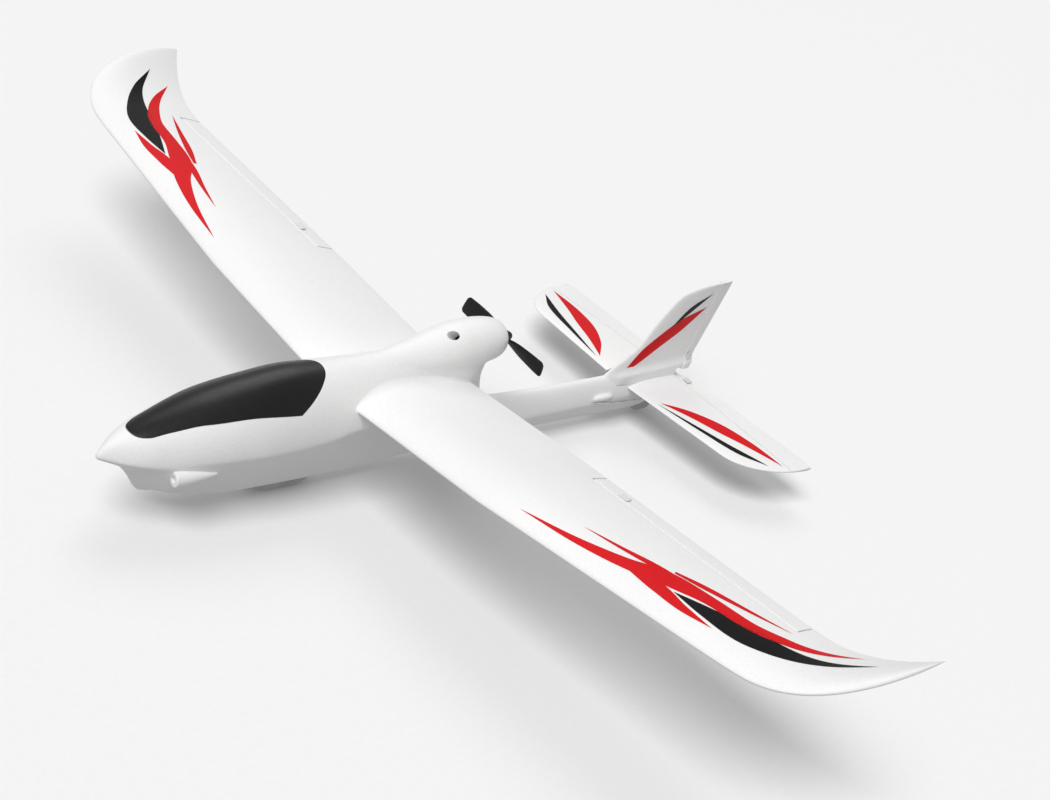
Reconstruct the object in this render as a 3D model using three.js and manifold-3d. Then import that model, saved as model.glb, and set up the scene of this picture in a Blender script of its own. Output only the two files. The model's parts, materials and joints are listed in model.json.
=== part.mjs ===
// A 600 mm span electric glider in moulded foam with a pusher propeller behind the wing.
// Stations run aft from the nose tip along +Y, +X is the left wing and z = 0 is the wing's chord
// plane at its root. The exported group shifts that frame to the belly skid's resting face.
import * as THREE from "three";
import { mergeVertices } from "three/addons/utils/BufferGeometryUtils.js";
import Module from "manifold-3d";

// ---- Driving dimensions, in millimetres and degrees ----
const HALF_SPAN = 300;
const DIHEDRAL = THREE.MathUtils.degToRad(5.26);
const ROOT_LEADING_EDGE = 130.4;
const ROOT_TRAILING_EDGE = 220.2;
const PANEL_BREAK = 106.6;
const TIP_STATION = 225;
const TIP_RISE = 18;
const WING_THICKNESS = 0.1;
const AILERON = { inner: 113.8, outer: 245.4, innerHinge: 205.8, outerHinge: 198 };

const TAIL_HALF_SPAN = 110;
const TAIL_HEIGHT = -26.8;
const TAIL_THICKNESS = 0.055;
const ELEVATOR_HINGE = { root: 432, tip: 426 };
const FIN_BASE = -24.4;
const FIN_TOP = 41.4;
const RUDDER_BASE = -21.5;

const FUSELAGE_END = 430;
const FOAM_WALL = 4;
const HATCH_WALL = 2.6;
const SPLIT_GAP = 0.3;
const FIT_GAP = 0.3;
const HINGE_GAP = 0.8;

const SKID = { station: 113, depth: -52.4, length: 42, flat: 14, width: 14 };
const MOTOR_HEIGHT = 20.5;
const MOTOR_BAY_RADIUS = 9.2;
const PROPELLER = { station: 247, radius: 32.5, hub: 4, thickness: 1.4, turn: 2.5 };
const JOINER_STATION = 157;
const JOINER_HEIGHT = 2.6;
const JOINER_REACH = 78;
const JOINER_RADIUS = 2;
const SHAFT_RADIUS = 1;
const SHAFT_BORE = 1.25;
const SCREW_OFFSET = 6;
const LEVER = 9.5;
const WIRE_RADIUS = 0.6;

const wasm = await Module();
wasm.setup();

// ---- Materials ----
const finish = (color, roughness, metalness = 0) =>
  new THREE.MeshStandardMaterial({ color, roughness, metalness });
const foam = finish(0xf4f3f0, 0.75);
const blackFilm = finish(0x202020, 0.35);
const blackPlastic = finish(0x2a2a2a, 0.5);
const whitePlastic = finish(0xe8e8e6, 0.45);
const bluePlastic = finish(0x24539c, 0.4);
const boardGreen = finish(0x1f5a3a, 0.5);
const steel = finish(0xb8bbc0, 0.3, 1);
const carbon = finish(0x26282b, 0.4);
const birch = finish(0xcda873, 0.8);
const redRubber = finish(0xa6242a, 0.6);

// ---- Geometry helpers ----
const point = (x, y, z) => new THREE.Vector3(x, y, z);
const mirrorX = (p) => point(-p.x, p.y, p.z);
const onThrustLine = (station, offset = 0) => point(0, station, MOTOR_HEIGHT + offset);
const range = (count) => Array.from({ length: count }, (_, i) => i);
const { lerp, clamp } = THREE.MathUtils;

// Smooth curve through [place, value] knots that never overshoots them.
function through(knots) {
  const last = knots.length - 1;
  const rise = (i) => (knots[i + 1][1] - knots[i][1]) / (knots[i + 1][0] - knots[i][0]);
  const slopes = knots.map((_, i) => {
    if (i === 0 || i === last) return rise(Math.min(i, last - 1));
    const before = rise(i - 1);
    const after = rise(i);
    return before * after <= 0 ? 0 : (2 * before * after) / (before + after);
  });
  return (place) => {
    let i = 0;
    while (i < last - 1 && place > knots[i + 1][0]) i += 1;
    const width = knots[i + 1][0] - knots[i][0];
    const t = clamp((place - knots[i][0]) / width, 0, 1);
    const ease = t * t * (3 - 2 * t);
    const bend = t * (1 - t) * width * ((1 - t) * slopes[i] - t * slopes[i + 1]);
    return lerp(knots[i][1], knots[i + 1][1], ease) + bend;
  };
}

// Turns every face of an indexed geometry round if its faces point inwards.
function facingOut(geometry) {
  const place = geometry.getAttribute("position");
  const corners = geometry.index.array;
  const [a, b, c] = [point(0, 0, 0), point(0, 0, 0), point(0, 0, 0)];
  let volume = 0;
  for (let i = 0; i < corners.length; i += 3) {
    a.fromBufferAttribute(place, corners[i]);
    b.fromBufferAttribute(place, corners[i + 1]);
    c.fromBufferAttribute(place, corners[i + 2]);
    volume += a.dot(b.cross(c));
  }
  if (volume < 0) corners.reverse();
  return geometry;
}

// A closed skin over rings of equally many points, with a fan over each end ring.
function loft(rings) {
  const count = rings[0].length;
  const centres = [rings[0], rings[rings.length - 1]].map((ring) =>
    ring.reduce((sum, p) => sum.add(p), point(0, 0, 0)).divideScalar(count),
  );
  const triangles = [];
  for (let i = 0; i < rings.length - 1; i += 1) {
    for (const j of range(count)) {
      const near = i * count + j;
      const next = i * count + ((j + 1) % count);
      triangles.push(near, near + count, next, next, near + count, next + count);
    }
  }
  const lastRing = (rings.length - 1) * count;
  const firstCentre = rings.length * count;
  for (const j of range(count)) {
    const next = (j + 1) % count;
    triangles.push(firstCentre, j, next);
    triangles.push(firstCentre + 1, lastRing + next, lastRing + j);
  }
  const geometry = new THREE.BufferGeometry().setFromPoints([...rings.flat(), ...centres]);
  geometry.setIndex(triangles);
  return facingOut(geometry);
}

// A geometry as a solid that can be joined and cut.
function solid(geometry) {
  const bare = new THREE.BufferGeometry();
  bare.setAttribute("position", geometry.getAttribute("position"));
  bare.setIndex(geometry.index);
  const merged = facingOut(mergeVertices(bare, 1e-3));
  return new wasm.Manifold(
    new wasm.Mesh({
      numProp: 3,
      vertProperties: new Float32Array(merged.getAttribute("position").array),
      triVerts: new Uint32Array(merged.index.array),
    }),
  );
}

const joined = (...geometries) => geometries.map(solid).reduce((a, b) => a.add(b));

function geometryOf(manifold) {
  const mesh = manifold.simplify(0.02).getMesh();
  const geometry = new THREE.BufferGeometry();
  geometry.setAttribute("position", new THREE.BufferAttribute(mesh.vertProperties, 3));
  geometry.setIndex(new THREE.BufferAttribute(mesh.triVerts, 1));
  geometry.computeVertexNormals();
  return geometry;
}

function box(low, high) {
  const size = high.map((value, i) => value - low[i]);
  const middle = high.map((value, i) => (value + low[i]) / 2);
  return new THREE.BoxGeometry(...size).translate(...middle);
}

// A round bar, or a cone, between two points.
function bar(from, to, radius, endRadius = radius, sides = 16) {
  const way = to.clone().sub(from);
  const geometry = new THREE.CylinderGeometry(endRadius, radius, way.length(), sides);
  const turn = new THREE.Quaternion().setFromUnitVectors(point(0, 1, 0), way.clone().normalize());
  const middle = from.clone().add(to).divideScalar(2);
  return geometry.applyQuaternion(turn).translate(middle.x, middle.y, middle.z);
}

// A round wire through points.
function wire(points, radius, steps, sides = 8) {
  const outline = new THREE.Shape().absarc(0, 0, radius, 0, 2 * Math.PI);
  const extrudePath = new THREE.CatmullRomCurve3(points, false, "centripetal");
  return new THREE.ExtrudeGeometry(outline, { steps, extrudePath, curveSegments: sides });
}

// An outline in the side view (station, height), spread across the aircraft from x to x + width.
function sideways(shape, x, width) {
  const axes = new THREE.Matrix4().makeBasis(point(0, 1, 0), point(0, 0, 1), point(1, 0, 0));
  const options = { depth: width, bevelEnabled: false, curveSegments: 8 };
  return new THREE.ExtrudeGeometry(shape, options).applyMatrix4(axes).translate(x, 0, 0);
}

// An outline in plan (x, station), spread upwards from z.
function upwards(outline, z, height) {
  const shape = new THREE.Shape(outline.map(([x, y]) => new THREE.Vector2(x, y)));
  return new THREE.ExtrudeGeometry(shape, { depth: height, bevelEnabled: false }).translate(0, 0, z);
}

// ---- Fuselage: a round top and a narrower lower side meet on a crease; two corners and a keel run below ----
const hull = {
  top: through([
    [0, -16.6], [3, -12.6], [8, -8.4], [15, -4.9], [33, 2], [50, 7.5], [75, 13.3], [103, 17.2],
    [122, 17.4], [145, 18.2], [179, 22], [205, 24], [222, 20], [234, 9], [239, -4], [243, -14],
    [250, -19.3], [300, -20.3], [355, -19.5], [395, -17.5], [FUSELAGE_END, -16.5],
  ]),
  crease: through([
    [0, -17.9], [24, -17.9], [40, -16], [60, -14.2], [96, -13], [115, -11], [135, -8], [150, -8.5],
    [175, -13], [200, -20], [225, -28], [244, -33], [284, -34.5], [385, -32.5], [FUSELAGE_END, -29],
  ]),
  keel: through([
    [0, -18.9], [10, -22.4], [17, -28], [29, -41.4], [38, -42.8], [55, -45.3], [80, -47],
    [146, -47.4], [198, -45.6], [250, -45.6], [394, -45.2], [412, -43], [FUSELAGE_END, -31],
  ]),
  corner: through([
    [0, -18.7], [15, -25], [38, -37.4], [55, -41.2], [80, -44], [146, -44.4], [198, -43.2],
    [250, -44.4], [394, -44.1], [412, -42], [FUSELAGE_END, -30.4],
  ]),
  width: through([
    [0, 0.9], [3, 3.4], [8, 7.4], [15, 11.8], [24, 15.5], [40, 20], [60, 23.5], [80, 25], [115, 25],
    [140, 23.5], [165, 20], [195, 16], [225, 12.5], [250, 9], [300, 8.2], [385, 7.4], [415, 6],
    [FUSELAGE_END, 4.2],
  ]),
  shoulder: through([
    [0, 0.9], [24, 15.2], [60, 22], [100, 22.5], [122, 20], [145, 16], [165, 14], [200, 12.4],
    [228, 9.6], [240, 7], [254, 6.4], [385, 5], [FUSELAGE_END, 3],
  ]),
  cornerWidth: through([
    [0, 0.3], [9, 0.8], [15, 1.8], [38, 10], [60, 10.6], [92, 10.6], [158, 10], [210, 7.6],
    [250, 4.8], [394, 4.8], [FUSELAGE_END, 2],
  ]),
};
const TOP_STEPS = 8;
const SIDE_STEPS = 4;

// Half of one cross-section, from the top centre round to the keel, grown by a margin.
function halfSection(station, margin) {
  const crease = hull.crease(station);
  const width = hull.width(station) + margin;
  const shoulder = hull.shoulder(station) + margin;
  const top = hull.top(station) + margin;
  const keel = hull.keel(station) - margin;
  const corner = hull.corner(station) - margin;
  const cornerWidth = Math.max(hull.cornerWidth(station) + margin / 2, 0.2);
  const upper = range(TOP_STEPS + 1).map((i) => {
    const angle = (Math.PI / 2) * (1 - i / TOP_STEPS);
    const across = lerp(width, shoulder, Math.sin(angle)) * Math.cos(angle);
    return point(across, station, crease + (top - crease) * Math.sin(angle));
  });
  const side = new THREE.QuadraticBezierCurve(
    new THREE.Vector2(width, crease),
    new THREE.Vector2(lerp(cornerWidth, width, 0.62), lerp(crease, corner, 0.56)),
    new THREE.Vector2(cornerWidth, corner),
  );
  const lower = range(SIDE_STEPS).map((i) => {
    const p = side.getPoint((i + 1) / SIDE_STEPS);
    return point(p.x, station, p.y);
  });
  upper[0].x = 0;
  return [...upper, ...lower, point(0, station, keel)];
}

function section(station, margin) {
  const half = halfSection(station, margin);
  const mirrored = half.slice(1, -1).reverse().map(mirrorX);
  return [...half, ...mirrored];
}

const stations = [
  ...range(7).map((i) => 24 * (i / 6) ** 1.8),
  ...range(19).map((i) => 33 + 10.8 * i),
  ...range(7).map((i) => 233 + 3 * i),
  ...range(9).map((i) => 268 + 16 * i),
  404, 412, 419, 425, FUSELAGE_END,
];

const hullSkin = (margin, from = 0, to = FUSELAGE_END) =>
  loft([from, ...stations.filter((s) => s > from + 1 && s < to - 1), to].map((s) => section(s, margin)));

// Motor pod: rings about a line that climbs aft out of the cabin roof.
const podRadius = through([
  [150, 5], [179, 10], [196, 12], [208, 12.9], [220, 13], [230, 12.5], [236.5, 11.5], [241, 9.6],
  [243.2, 7.2], [244, 4.6],
]);
const podHeight = through([[150, 12], [179, 14.4], [196, 17.2], [210, 19.4], [226, 20.3], [244, 20.5]]);
const podStations = [150, 162, 174, 185, 196, 205, 214, 223, 230, 236.5, 241, 243.2, 244];

// The pylon's flanks fill the neck between the cabin roof and the pod.
const pylonWidth = through([[160, 7], [190, 11.8], [212, 11.6], [226, 9.6], [233, 6.4], [236, 2.6]]);
const PYLON = { height: 3, rise: 17, stations: [160, 175, 190, 201, 212, 219, 226, 230, 233, 236] };

function pylonSkin(margin) {
  const ring = (station) =>
    range(20).map((i) => {
      const angle = (2 * Math.PI * i) / 20;
      const across = (pylonWidth(station) + margin) * Math.cos(angle);
      return point(across, station, PYLON.height + PYLON.rise * Math.sin(angle));
    });
  return loft(PYLON.stations.map(ring));
}

function podSkin(margin) {
  const ring = (station) =>
    range(24).map((i) => {
      const angle = (2 * Math.PI * i) / 24;
      const radius = podRadius(station) + margin;
      const end = station > 243.5 ? margin : 0;
      return point(radius * Math.cos(angle), station + end, podHeight(station) + radius * Math.sin(angle));
    });
  return loft(podStations.map(ring));
}

const outerBody = joined(hullSkin(0), podSkin(0), pylonSkin(0));
const grownBody = joined(hullSkin(FIT_GAP), podSkin(FIT_GAP), pylonSkin(FIT_GAP));

// Canopy outline from the side; the margin grows it downwards and to both ends.
function hatchRegion(margin) {
  const edge = [[13, -5.6], [15.5, -6], [20, -5.4], [24, -4.2], [29, -2.7], [46, 1.4], [74, 4], [95.5, 3.6]];
  const shape = new THREE.Shape();
  shape.moveTo(13 - margin, 40);
  shape.lineTo(13 - margin, -5.6 - margin);
  shape.splineThru(edge.slice(1).map(([y, z]) => new THREE.Vector2(y + margin / 2, z - margin)));
  shape.lineTo(113 + margin, 14.4 - margin / 2);
  shape.quadraticCurveTo(122 + margin, 19, 122 + margin, 27);
  shape.lineTo(122 + margin, 40);
  return sideways(shape, -30, 60);
}

// Each pushrod leaves its servo arm in the cabin, runs down the boom and comes out ahead of the tail.
const servoPivot = { across: 11.9, station: 146, height: -14 };
const servoWire = point(servoPivot.across + 1.5, servoPivot.station, servoPivot.height - LEVER);
const RUDDER_WIRE_HEIGHT = -11.6;
const rudderHinge = (z) => 438.3 + 0.09 * z;
const elevatorWirePath = [
  servoWire.clone(), point(13, 168, -24.8), point(8.6, 196, -27), point(3.6, 245, -32),
  point(3.6, 318, -32), point(9.4, 366, -33.4), point(9.4, 430.5, TAIL_HEIGHT - LEVER),
];
const rudderWirePath = [
  mirrorX(servoWire), point(-13, 168, -24.8), point(-8.6, 196, -27), point(-3.6, 245, -32),
  point(-3.6, 314, -31), point(-9, 362, -26), point(-LEVER - 0.6, rudderHinge(-13), RUDDER_WIRE_HEIGHT),
];
const exitPoint = [point(8, 357, -30), point(-8, 353, -28)];
const joinerPath = [-JOINER_REACH, 0, JOINER_REACH].map((x) =>
  point(x, JOINER_STATION, JOINER_HEIGHT + Math.abs(x) * Math.tan(DIHEDRAL)),
);
const joiner = (radius) => {
  const half = (a, b) => bar(a, b, radius, radius, 12);
  const elbow = new THREE.SphereGeometry(radius, 12, 8).translate(0, JOINER_STATION, joinerPath[1].z);
  return joined(half(joinerPath[0], joinerPath[1]), half(joinerPath[1], joinerPath[2]), elbow);
};

const noseTube = {
  front: point(18.2, 31, -22.8),
  back: point(21, 53, -21.4),
};

function noseTubes() {
  return [(p) => p.clone(), mirrorX]
    .map((place) => bar(place(noseTube.front), place(noseTube.back), 3.9, 0.8, 20))
    .map(solid)
    .reduce((a, b) => a.add(b));
}

function noseTubeHoles() {
  const inner = noseTube.front.clone().lerp(noseTube.back, 0.3);
  const outer = noseTube.front.clone().lerp(noseTube.back, -0.1);
  return [(p) => p.clone(), mirrorX]
    .map((place) => solid(bar(place(outer), place(inner), 1.7, 1.5, 16)))
    .reduce((a, b) => a.add(b));
}

const tray = { low: [-12.6, 40, -29.6], high: [12.6, 172, -28.2] };
const grownTray = box(
  tray.low.map((v) => v - FIT_GAP),
  tray.high.map((v) => v + FIT_GAP),
);

function exitFairings() {
  return exitPoint
    .map((p) => solid(new THREE.SphereGeometry(1, 14, 10).scale(1.7, 9, 2.2).translate(p.x, p.y, p.z)))
    .reduce((a, b) => a.add(b));
}

// The magnet seat spans the bay behind the hatch's rear edge.
const magnetSeat = box([-20, 101, 3.6], [20, 111, 6.6]);

function fuselage() {
  const cavity = joined(hullSkin(-FOAM_WALL, 26, 196));
  const seat = solid(magnetSeat).intersect(outerBody);
  const motorBay = bar(onThrustLine(207), onThrustLine(239.6), MOTOR_BAY_RADIUS, MOTOR_BAY_RADIUS, 28);
  const motorMouth = bar(onThrustLine(236), onThrustLine(250), 4.2, 4.2, 20);
  const vent = bar(point(3.4, 211, 21), point(6.4, 190, 35.5), 2.7);
  const leadDuct = bar(point(0, 178, 5), point(0, 211, MOTOR_HEIGHT - 1), 3, 3, 12);
  const boomDuct = bar(point(0, 192, -30), point(0, 322, -32), 4.4, 3.2, 12);
  return outerBody
    .add(noseTubes())
    .add(exitFairings())
    .subtract(cavity)
    .add(seat)
    .subtract(noseTubeHoles())
    .subtract(joined(motorBay, motorMouth, vent, leadDuct, boomDuct))
    .subtract(solid(wire(elevatorWirePath, 1.5, 22, 4)))
    .subtract(solid(wire(rudderWirePath, 1.5, 22, 4)))
    .subtract(joiner(JOINER_RADIUS + FIT_GAP))
    .subtract(solid(hatchRegion(0.35)))
    .subtract(solid(grownTray))
    .subtract(solid(tailSkin(FIT_GAP)));
}

function hatch() {
  const inner = joined(hullSkin(-HATCH_WALL, 18, 117));
  const magnetBoss = solid(box([-5, 101, 12.2], [5, 111, 30])).intersect(outerBody);
  return outerBody.subtract(inner).add(magnetBoss).intersect(solid(hatchRegion(0)));
}

// ---- Wing ----
const taper = (x, inner, outer) => inner * Math.min(x, PANEL_BREAK) + outer * Math.max(x - PANEL_BREAK, 0);

function wingEdges(x) {
  const straightLeading = ROOT_LEADING_EDGE + taper(x, 0, 0.087);
  const straightTrailing = ROOT_TRAILING_EDGE - taper(x, 0.012, 0.046);
  const tipLeading = ROOT_LEADING_EDGE + taper(HALF_SPAN, 0, 0.087);
  const tipTrailing = ROOT_TRAILING_EDGE - taper(HALF_SPAN, 0.012, 0.046);
  const roundIn = clamp((x - 213) / (HALF_SPAN - 213), 0, 0.9999);
  const sweepBack = clamp((x - 231) / (HALF_SPAN - 231), 0, 1);
  return {
    leading: straightLeading + (TIP_STATION - 1.5 - tipLeading) * (1 - Math.sqrt(1 - roundIn ** 5)),
    trailing: straightTrailing + (TIP_STATION - tipTrailing) * sweepBack ** 2.5,
    height: x * Math.tan(DIHEDRAL) + TIP_RISE * clamp((x - 252) / (HALF_SPAN - 252), 0, 1) ** 2,
  };
}

// Ring of [chord fraction, height fraction] round an aerofoil with a blunt trailing edge.
const CHORD_STEPS = 9;
function aerofoil(thickness, camber) {
  const surface = (u, side) => {
    const body = 0.2969 * Math.sqrt(u) - 0.126 * u - 0.3516 * u ** 2 + 0.2843 * u ** 3 - 0.1036 * u ** 4;
    const line = u < 0.4 ? (0.8 * u - u * u) / 0.16 : (0.2 + 0.8 * u - u * u) / 0.36;
    return camber * line + side * (5 * thickness * body + 0.004 * u);
  };
  const fractions = range(CHORD_STEPS + 1).map((i) => 0.5 - 0.5 * Math.cos((Math.PI * i) / CHORD_STEPS));
  const upper = fractions.map((u) => [u, surface(u, 1)]);
  const lower = fractions.slice(1).map((u) => [u, surface(u, -1)]);
  return [...upper.reverse(), ...lower];
}

const wingFoil = aerofoil(WING_THICKNESS, 0.03);
const tailFoil = aerofoil(TAIL_THICKNESS, 0);

function wingRing(x) {
  const { leading, trailing, height } = wingEdges(x);
  const chord = trailing - leading;
  return wingFoil.map(([u, v]) => point(x, leading + u * chord, height + v * chord));
}

const wingPlaces = [
  4, 22, 50, 80, PANEL_BREAK, 140, 180, 213, 230, 245, 256, 265, 273, 280, 286, 291, 295, 298, HALF_SPAN,
];
const wingSkin = solid(loft(wingPlaces.map(wingRing)));

// Everything fixed in the wing is placed along the panel, which the dihedral tilts.
const panelTilt = new THREE.Matrix4().makeRotationY(-DIHEDRAL);
const onPanel = (geometry) => geometry.clone().applyMatrix4(panelTilt);

const aileronHinge = (x) =>
  lerp(AILERON.innerHinge, AILERON.outerHinge, (x - AILERON.inner) / (AILERON.outer - AILERON.inner));

// Plan outline aft of the hinge line; the margin grows it forwards and to both ends.
function aileronRegion(margin) {
  const outline = [
    [AILERON.inner - margin, aileronHinge(AILERON.inner) - margin],
    [AILERON.outer + margin, aileronHinge(AILERON.outer) - margin],
    [AILERON.outer + margin, 240],
    [AILERON.inner - margin, 240],
  ];
  return solid(upwards(outline, -10, 60));
}

const wingServo = { low: [112, 150, -3.4], high: [129, 170, 4.4] };
const HORN_PLACE = 133;
const aileronHornBase = aileronHinge(HORN_PLACE);

function wingPanel() {
  const pocket = box(
    [wingServo.low[0] - FIT_GAP, wingServo.low[1] - 2.6, wingServo.low[2] - FIT_GAP],
    [wingServo.high[0] + 5.5, wingServo.high[1] + 2.6, wingServo.high[2] + FIT_GAP],
  );
  return wingSkin
    .subtract(grownBody)
    .subtract(aileronRegion(HINGE_GAP))
    .subtract(joiner(JOINER_RADIUS + FIT_GAP))
    .subtract(solid(onPanel(pocket)));
}

// ---- Tail ----
function tailEdges(x) {
  const across = Math.abs(x);
  const round = clamp((across - 80) / (TAIL_HALF_SPAN - 80), 0, 1);
  return {
    leading: 380.6 + 0.081 * across + 54 * (1 - Math.sqrt(1 - 0.998 * round ** 2)),
    trailing: 446.2 + 0.025 * across - 1.5 * round ** 6,
  };
}

const tailPlaces = [0, 30, 60, 80, 89, 96, 102, 106, 108.6, TAIL_HALF_SPAN];

function tailSkin(margin) {
  const ring = (x) => {
    const { leading, trailing } = tailEdges(x);
    const chord = trailing - leading;
    return tailFoil.map(([u, v]) =>
      point(
        x,
        leading + u * chord + 2 * margin * (u - 0.5),
        TAIL_HEIGHT + v * Math.max(chord, 30) + margin * Math.sign(v) * Math.min(1, 9 * u),
      ),
    );
  };
  const places = [...tailPlaces.slice(1).reverse().map((x) => -x), ...tailPlaces];
  return loft(places.map(ring));
}

// The elevator's hinge line is straight in the middle and bends forwards towards each tip.
const ELEVATOR_BEND = 44;
const elevatorLine = (x) => {
  const outwards = clamp((Math.abs(x) - ELEVATOR_BEND) / (TAIL_HALF_SPAN - 3 - ELEVATOR_BEND), 0, 1);
  return lerp(ELEVATOR_HINGE.root, ELEVATOR_HINGE.tip, outwards);
};

// Plan outline aft of the elevator's hinge line.
function elevatorRegion(margin) {
  const line = [-115, -ELEVATOR_BEND, ELEVATOR_BEND, 115].map((x) => [x, elevatorLine(x) - margin]);
  return solid(upwards([...line, [115, 460], [-115, 460]], TAIL_HEIGHT - 12, 24));
}

function elevatorBody() {
  const notch = upwards([[-3, 438.5], [3, 438.5], [12, 450], [12, 456], [-12, 456], [-12, 450]], -40, 30);
  return solid(tailSkin(0)).intersect(elevatorRegion(0)).subtract(solid(notch));
}

const finLeading = through([
  [FIN_BASE, 355], [-16, 362.8], [-8, 374], [0, 384], [13.7, 391], [26, 398.8], [34, 406], [38.4, 419],
  [40.6, 431], [FIN_TOP, 440],
]);
const finTrailing = (z) => 448.5 + 0.152 * z;
const finLevels = [FIN_BASE, -20, -16, -8, 0, 8, 16, 24, 30, 34, 36.5, 38.4, 39.8, 40.8, FIN_TOP];

function finRing(z) {
  const leading = finLeading(z);
  const chord = finTrailing(z) - leading;
  const fullness = Math.max(chord, 46) * (TAIL_THICKNESS + 0.006);
  return aerofoil(fullness / chord, 0).map(([u, v]) => point(v * chord, leading + u * chord, z));
}

const finSkin = solid(loft(finLevels.map(finRing)));

function rudderRegion(margin) {
  const shape = new THREE.Shape();
  shape.moveTo(rudderHinge(RUDDER_BASE - margin) - margin, RUDDER_BASE - margin);
  shape.lineTo(rudderHinge(50) - margin, 50);
  shape.lineTo(470, 50);
  shape.lineTo(470, RUDDER_BASE - margin);
  return solid(sideways(shape, -10, 20));
}

// Below the rudder the fin keeps only the part ahead of the hinge line.
function finBody() {
  const belowRudder = solid(box([-10, rudderHinge(RUDDER_BASE) - 3, -40], [10, 470, RUDDER_BASE + 1]));
  return finSkin
    .subtract(rudderRegion(HINGE_GAP))
    .subtract(belowRudder)
    .subtract(grownBody)
    .subtract(solid(tailSkin(FIT_GAP)));
}

// ---- Propeller ----
const bladeChord = through([
  [3, 3.6], [7, 4.6], [11, 7.6], [16, 9.2], [24, 9.6], [31, 9.2], [PROPELLER.radius, 7],
]);
const bladeTwist = (x) => THREE.MathUtils.degToRad(lerp(38, 12, x / PROPELLER.radius));

function blade() {
  const outline = [[-0.5, 0], [-0.25, 0.5], [0.2, 0.5], [0.5, 0.1], [0.25, -0.4], [-0.25, -0.3]];
  const ring = (x) =>
    outline.map(([across, outward]) => {
      const along = across * bladeChord(x);
      const off = outward * PROPELLER.thickness;
      const twist = bladeTwist(x);
      const y = off * Math.cos(twist) - along * Math.sin(twist);
      return point(x, y, along * Math.cos(twist) + off * Math.sin(twist));
    });
  return loft([2, 5, 8, 11, 15, 20, 25, 29, 31.4, PROPELLER.radius].map(ring));
}

function propellerBody() {
  const hub = bar(point(0, -3.2, 0), point(0, 3.2, 0), PROPELLER.hub, PROPELLER.hub - 0.6, 24);
  const bore = bar(point(0, -5, 0), point(0, 5, 0), SHAFT_BORE);
  const opposite = blade().rotateY(Math.PI);
  return joined(hub, blade(), opposite).subtract(solid(bore));
}

// ---- Small parts ----
// A thin lever in the side view: a round boss at the pivot and a rounded end one LEVER away.
function leverArm(down) {
  const shape = new THREE.Shape();
  const reach = down ? -LEVER : LEVER;
  shape.absarc(0, 0, 2.4, down ? 0 : Math.PI, down ? Math.PI : 2 * Math.PI);
  shape.lineTo(down ? -1.2 : 1.2, reach);
  shape.absarc(0, reach, 1.2, down ? Math.PI : 0, down ? 2 * Math.PI : Math.PI);
  return shape;
}

// A wing servo lies on its side, so its mounting tabs stand upright.
const SERVO_TAB = 2.2;
function wingServoBody({ low, high }) {
  const tabs = box(
    [low[0] + 2, low[1] - SERVO_TAB, low[2] + 1.6],
    [low[0] + 3.4, high[1] + SERVO_TAB, high[2] - 1.6],
  );
  return joined(box(low, high), tabs);
}

// A control horn in the side view: a foot along the surface and a finger below it.
function hornShape(foot) {
  const shape = new THREE.Shape();
  shape.moveTo(0.6, -foot);
  shape.lineTo(9, -foot);
  shape.lineTo(9, -foot - 1);
  shape.lineTo(1.6, -LEVER);
  shape.absarc(0, -LEVER, 1.6, 0, -Math.PI, true);
  shape.lineTo(-1.2, -foot - 1.6);
  return shape;
}

function motorCase() {
  const [front, back] = [211, 232];
  const can = bar(onThrustLine(front), onThrustLine(back), 8, 8, 28);
  const nose = bar(onThrustLine(back - 1), onThrustLine(back + 1.6), 3, 3, 20);
  const bore = bar(onThrustLine(back - 6), onThrustLine(back + 4), SHAFT_BORE);
  return joined(can, nose).subtract(solid(bore));
}

function motorMount() {
  const plateRadius = MOTOR_BAY_RADIUS - FIT_GAP;
  const plate = bar(onThrustLine(234.2), onThrustLine(236.2), plateRadius, plateRadius, 28);
  const middle = bar(onThrustLine(233), onThrustLine(238), 3.3);
  const screwHole = (z) => bar(onThrustLine(233, z), onThrustLine(238, z), 1.1, 1.1, 12);
  const screwHoles = [screwHole(SCREW_OFFSET), screwHole(-SCREW_OFFSET)];
  return solid(plate).subtract(joined(middle, ...screwHoles));
}

function motorScrew(side) {
  const z = side * SCREW_OFFSET;
  const shank = bar(onThrustLine(232.4, z), onThrustLine(237, z), 0.8, 0.8, 10);
  const head = bar(onThrustLine(236.5, z), onThrustLine(237.7, z), 1.7, 1.2, 14);
  return joined(shank, head);
}

// A skid in the side view: an arc that stops on a flat at its lowest level.
function skidShape(station, length, top, bottom, flat) {
  const shape = new THREE.Shape();
  shape.moveTo(station - length / 2, top);
  shape.quadraticCurveTo(station - length / 2 + 5, bottom, station - flat / 2, bottom);
  shape.lineTo(station + flat / 2, bottom);
  shape.quadraticCurveTo(station + length / 2 - 5, bottom, station + length / 2, top);
  return shape;
}

function skidBody(station, length, top, bottom, flat, width) {
  const block = solid(sideways(skidShape(station, length, top, bottom, flat), -width / 2, width));
  return block.subtract(grownBody);
}

const battery = { low: [-11.5, 44, -27.8], high: [11.5, 94, -14.5] };
const board = { low: [-11, 106, -27.8], high: [11, 134, -22] };

function batteryStrap() {
  const outer = box([-12.8, 62, -30.8], [12.8, 76, battery.high[2] + 1.4]);
  const inner = box([-11.9, 60, -29.9], [11.9, 78, battery.high[2] + 0.4]);
  return solid(outer).subtract(solid(inner));
}

function trayBody() {
  const plate = solid(box(tray.low, tray.high));
  const strapSlots = [tray.low[0], tray.high[0]].map((x) => solid(box([x - 1.4, 61, -34], [x + 1.4, 77, -24])));
  return plate.subtract(strapSlots[0]).subtract(strapSlots[1]);
}

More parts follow.
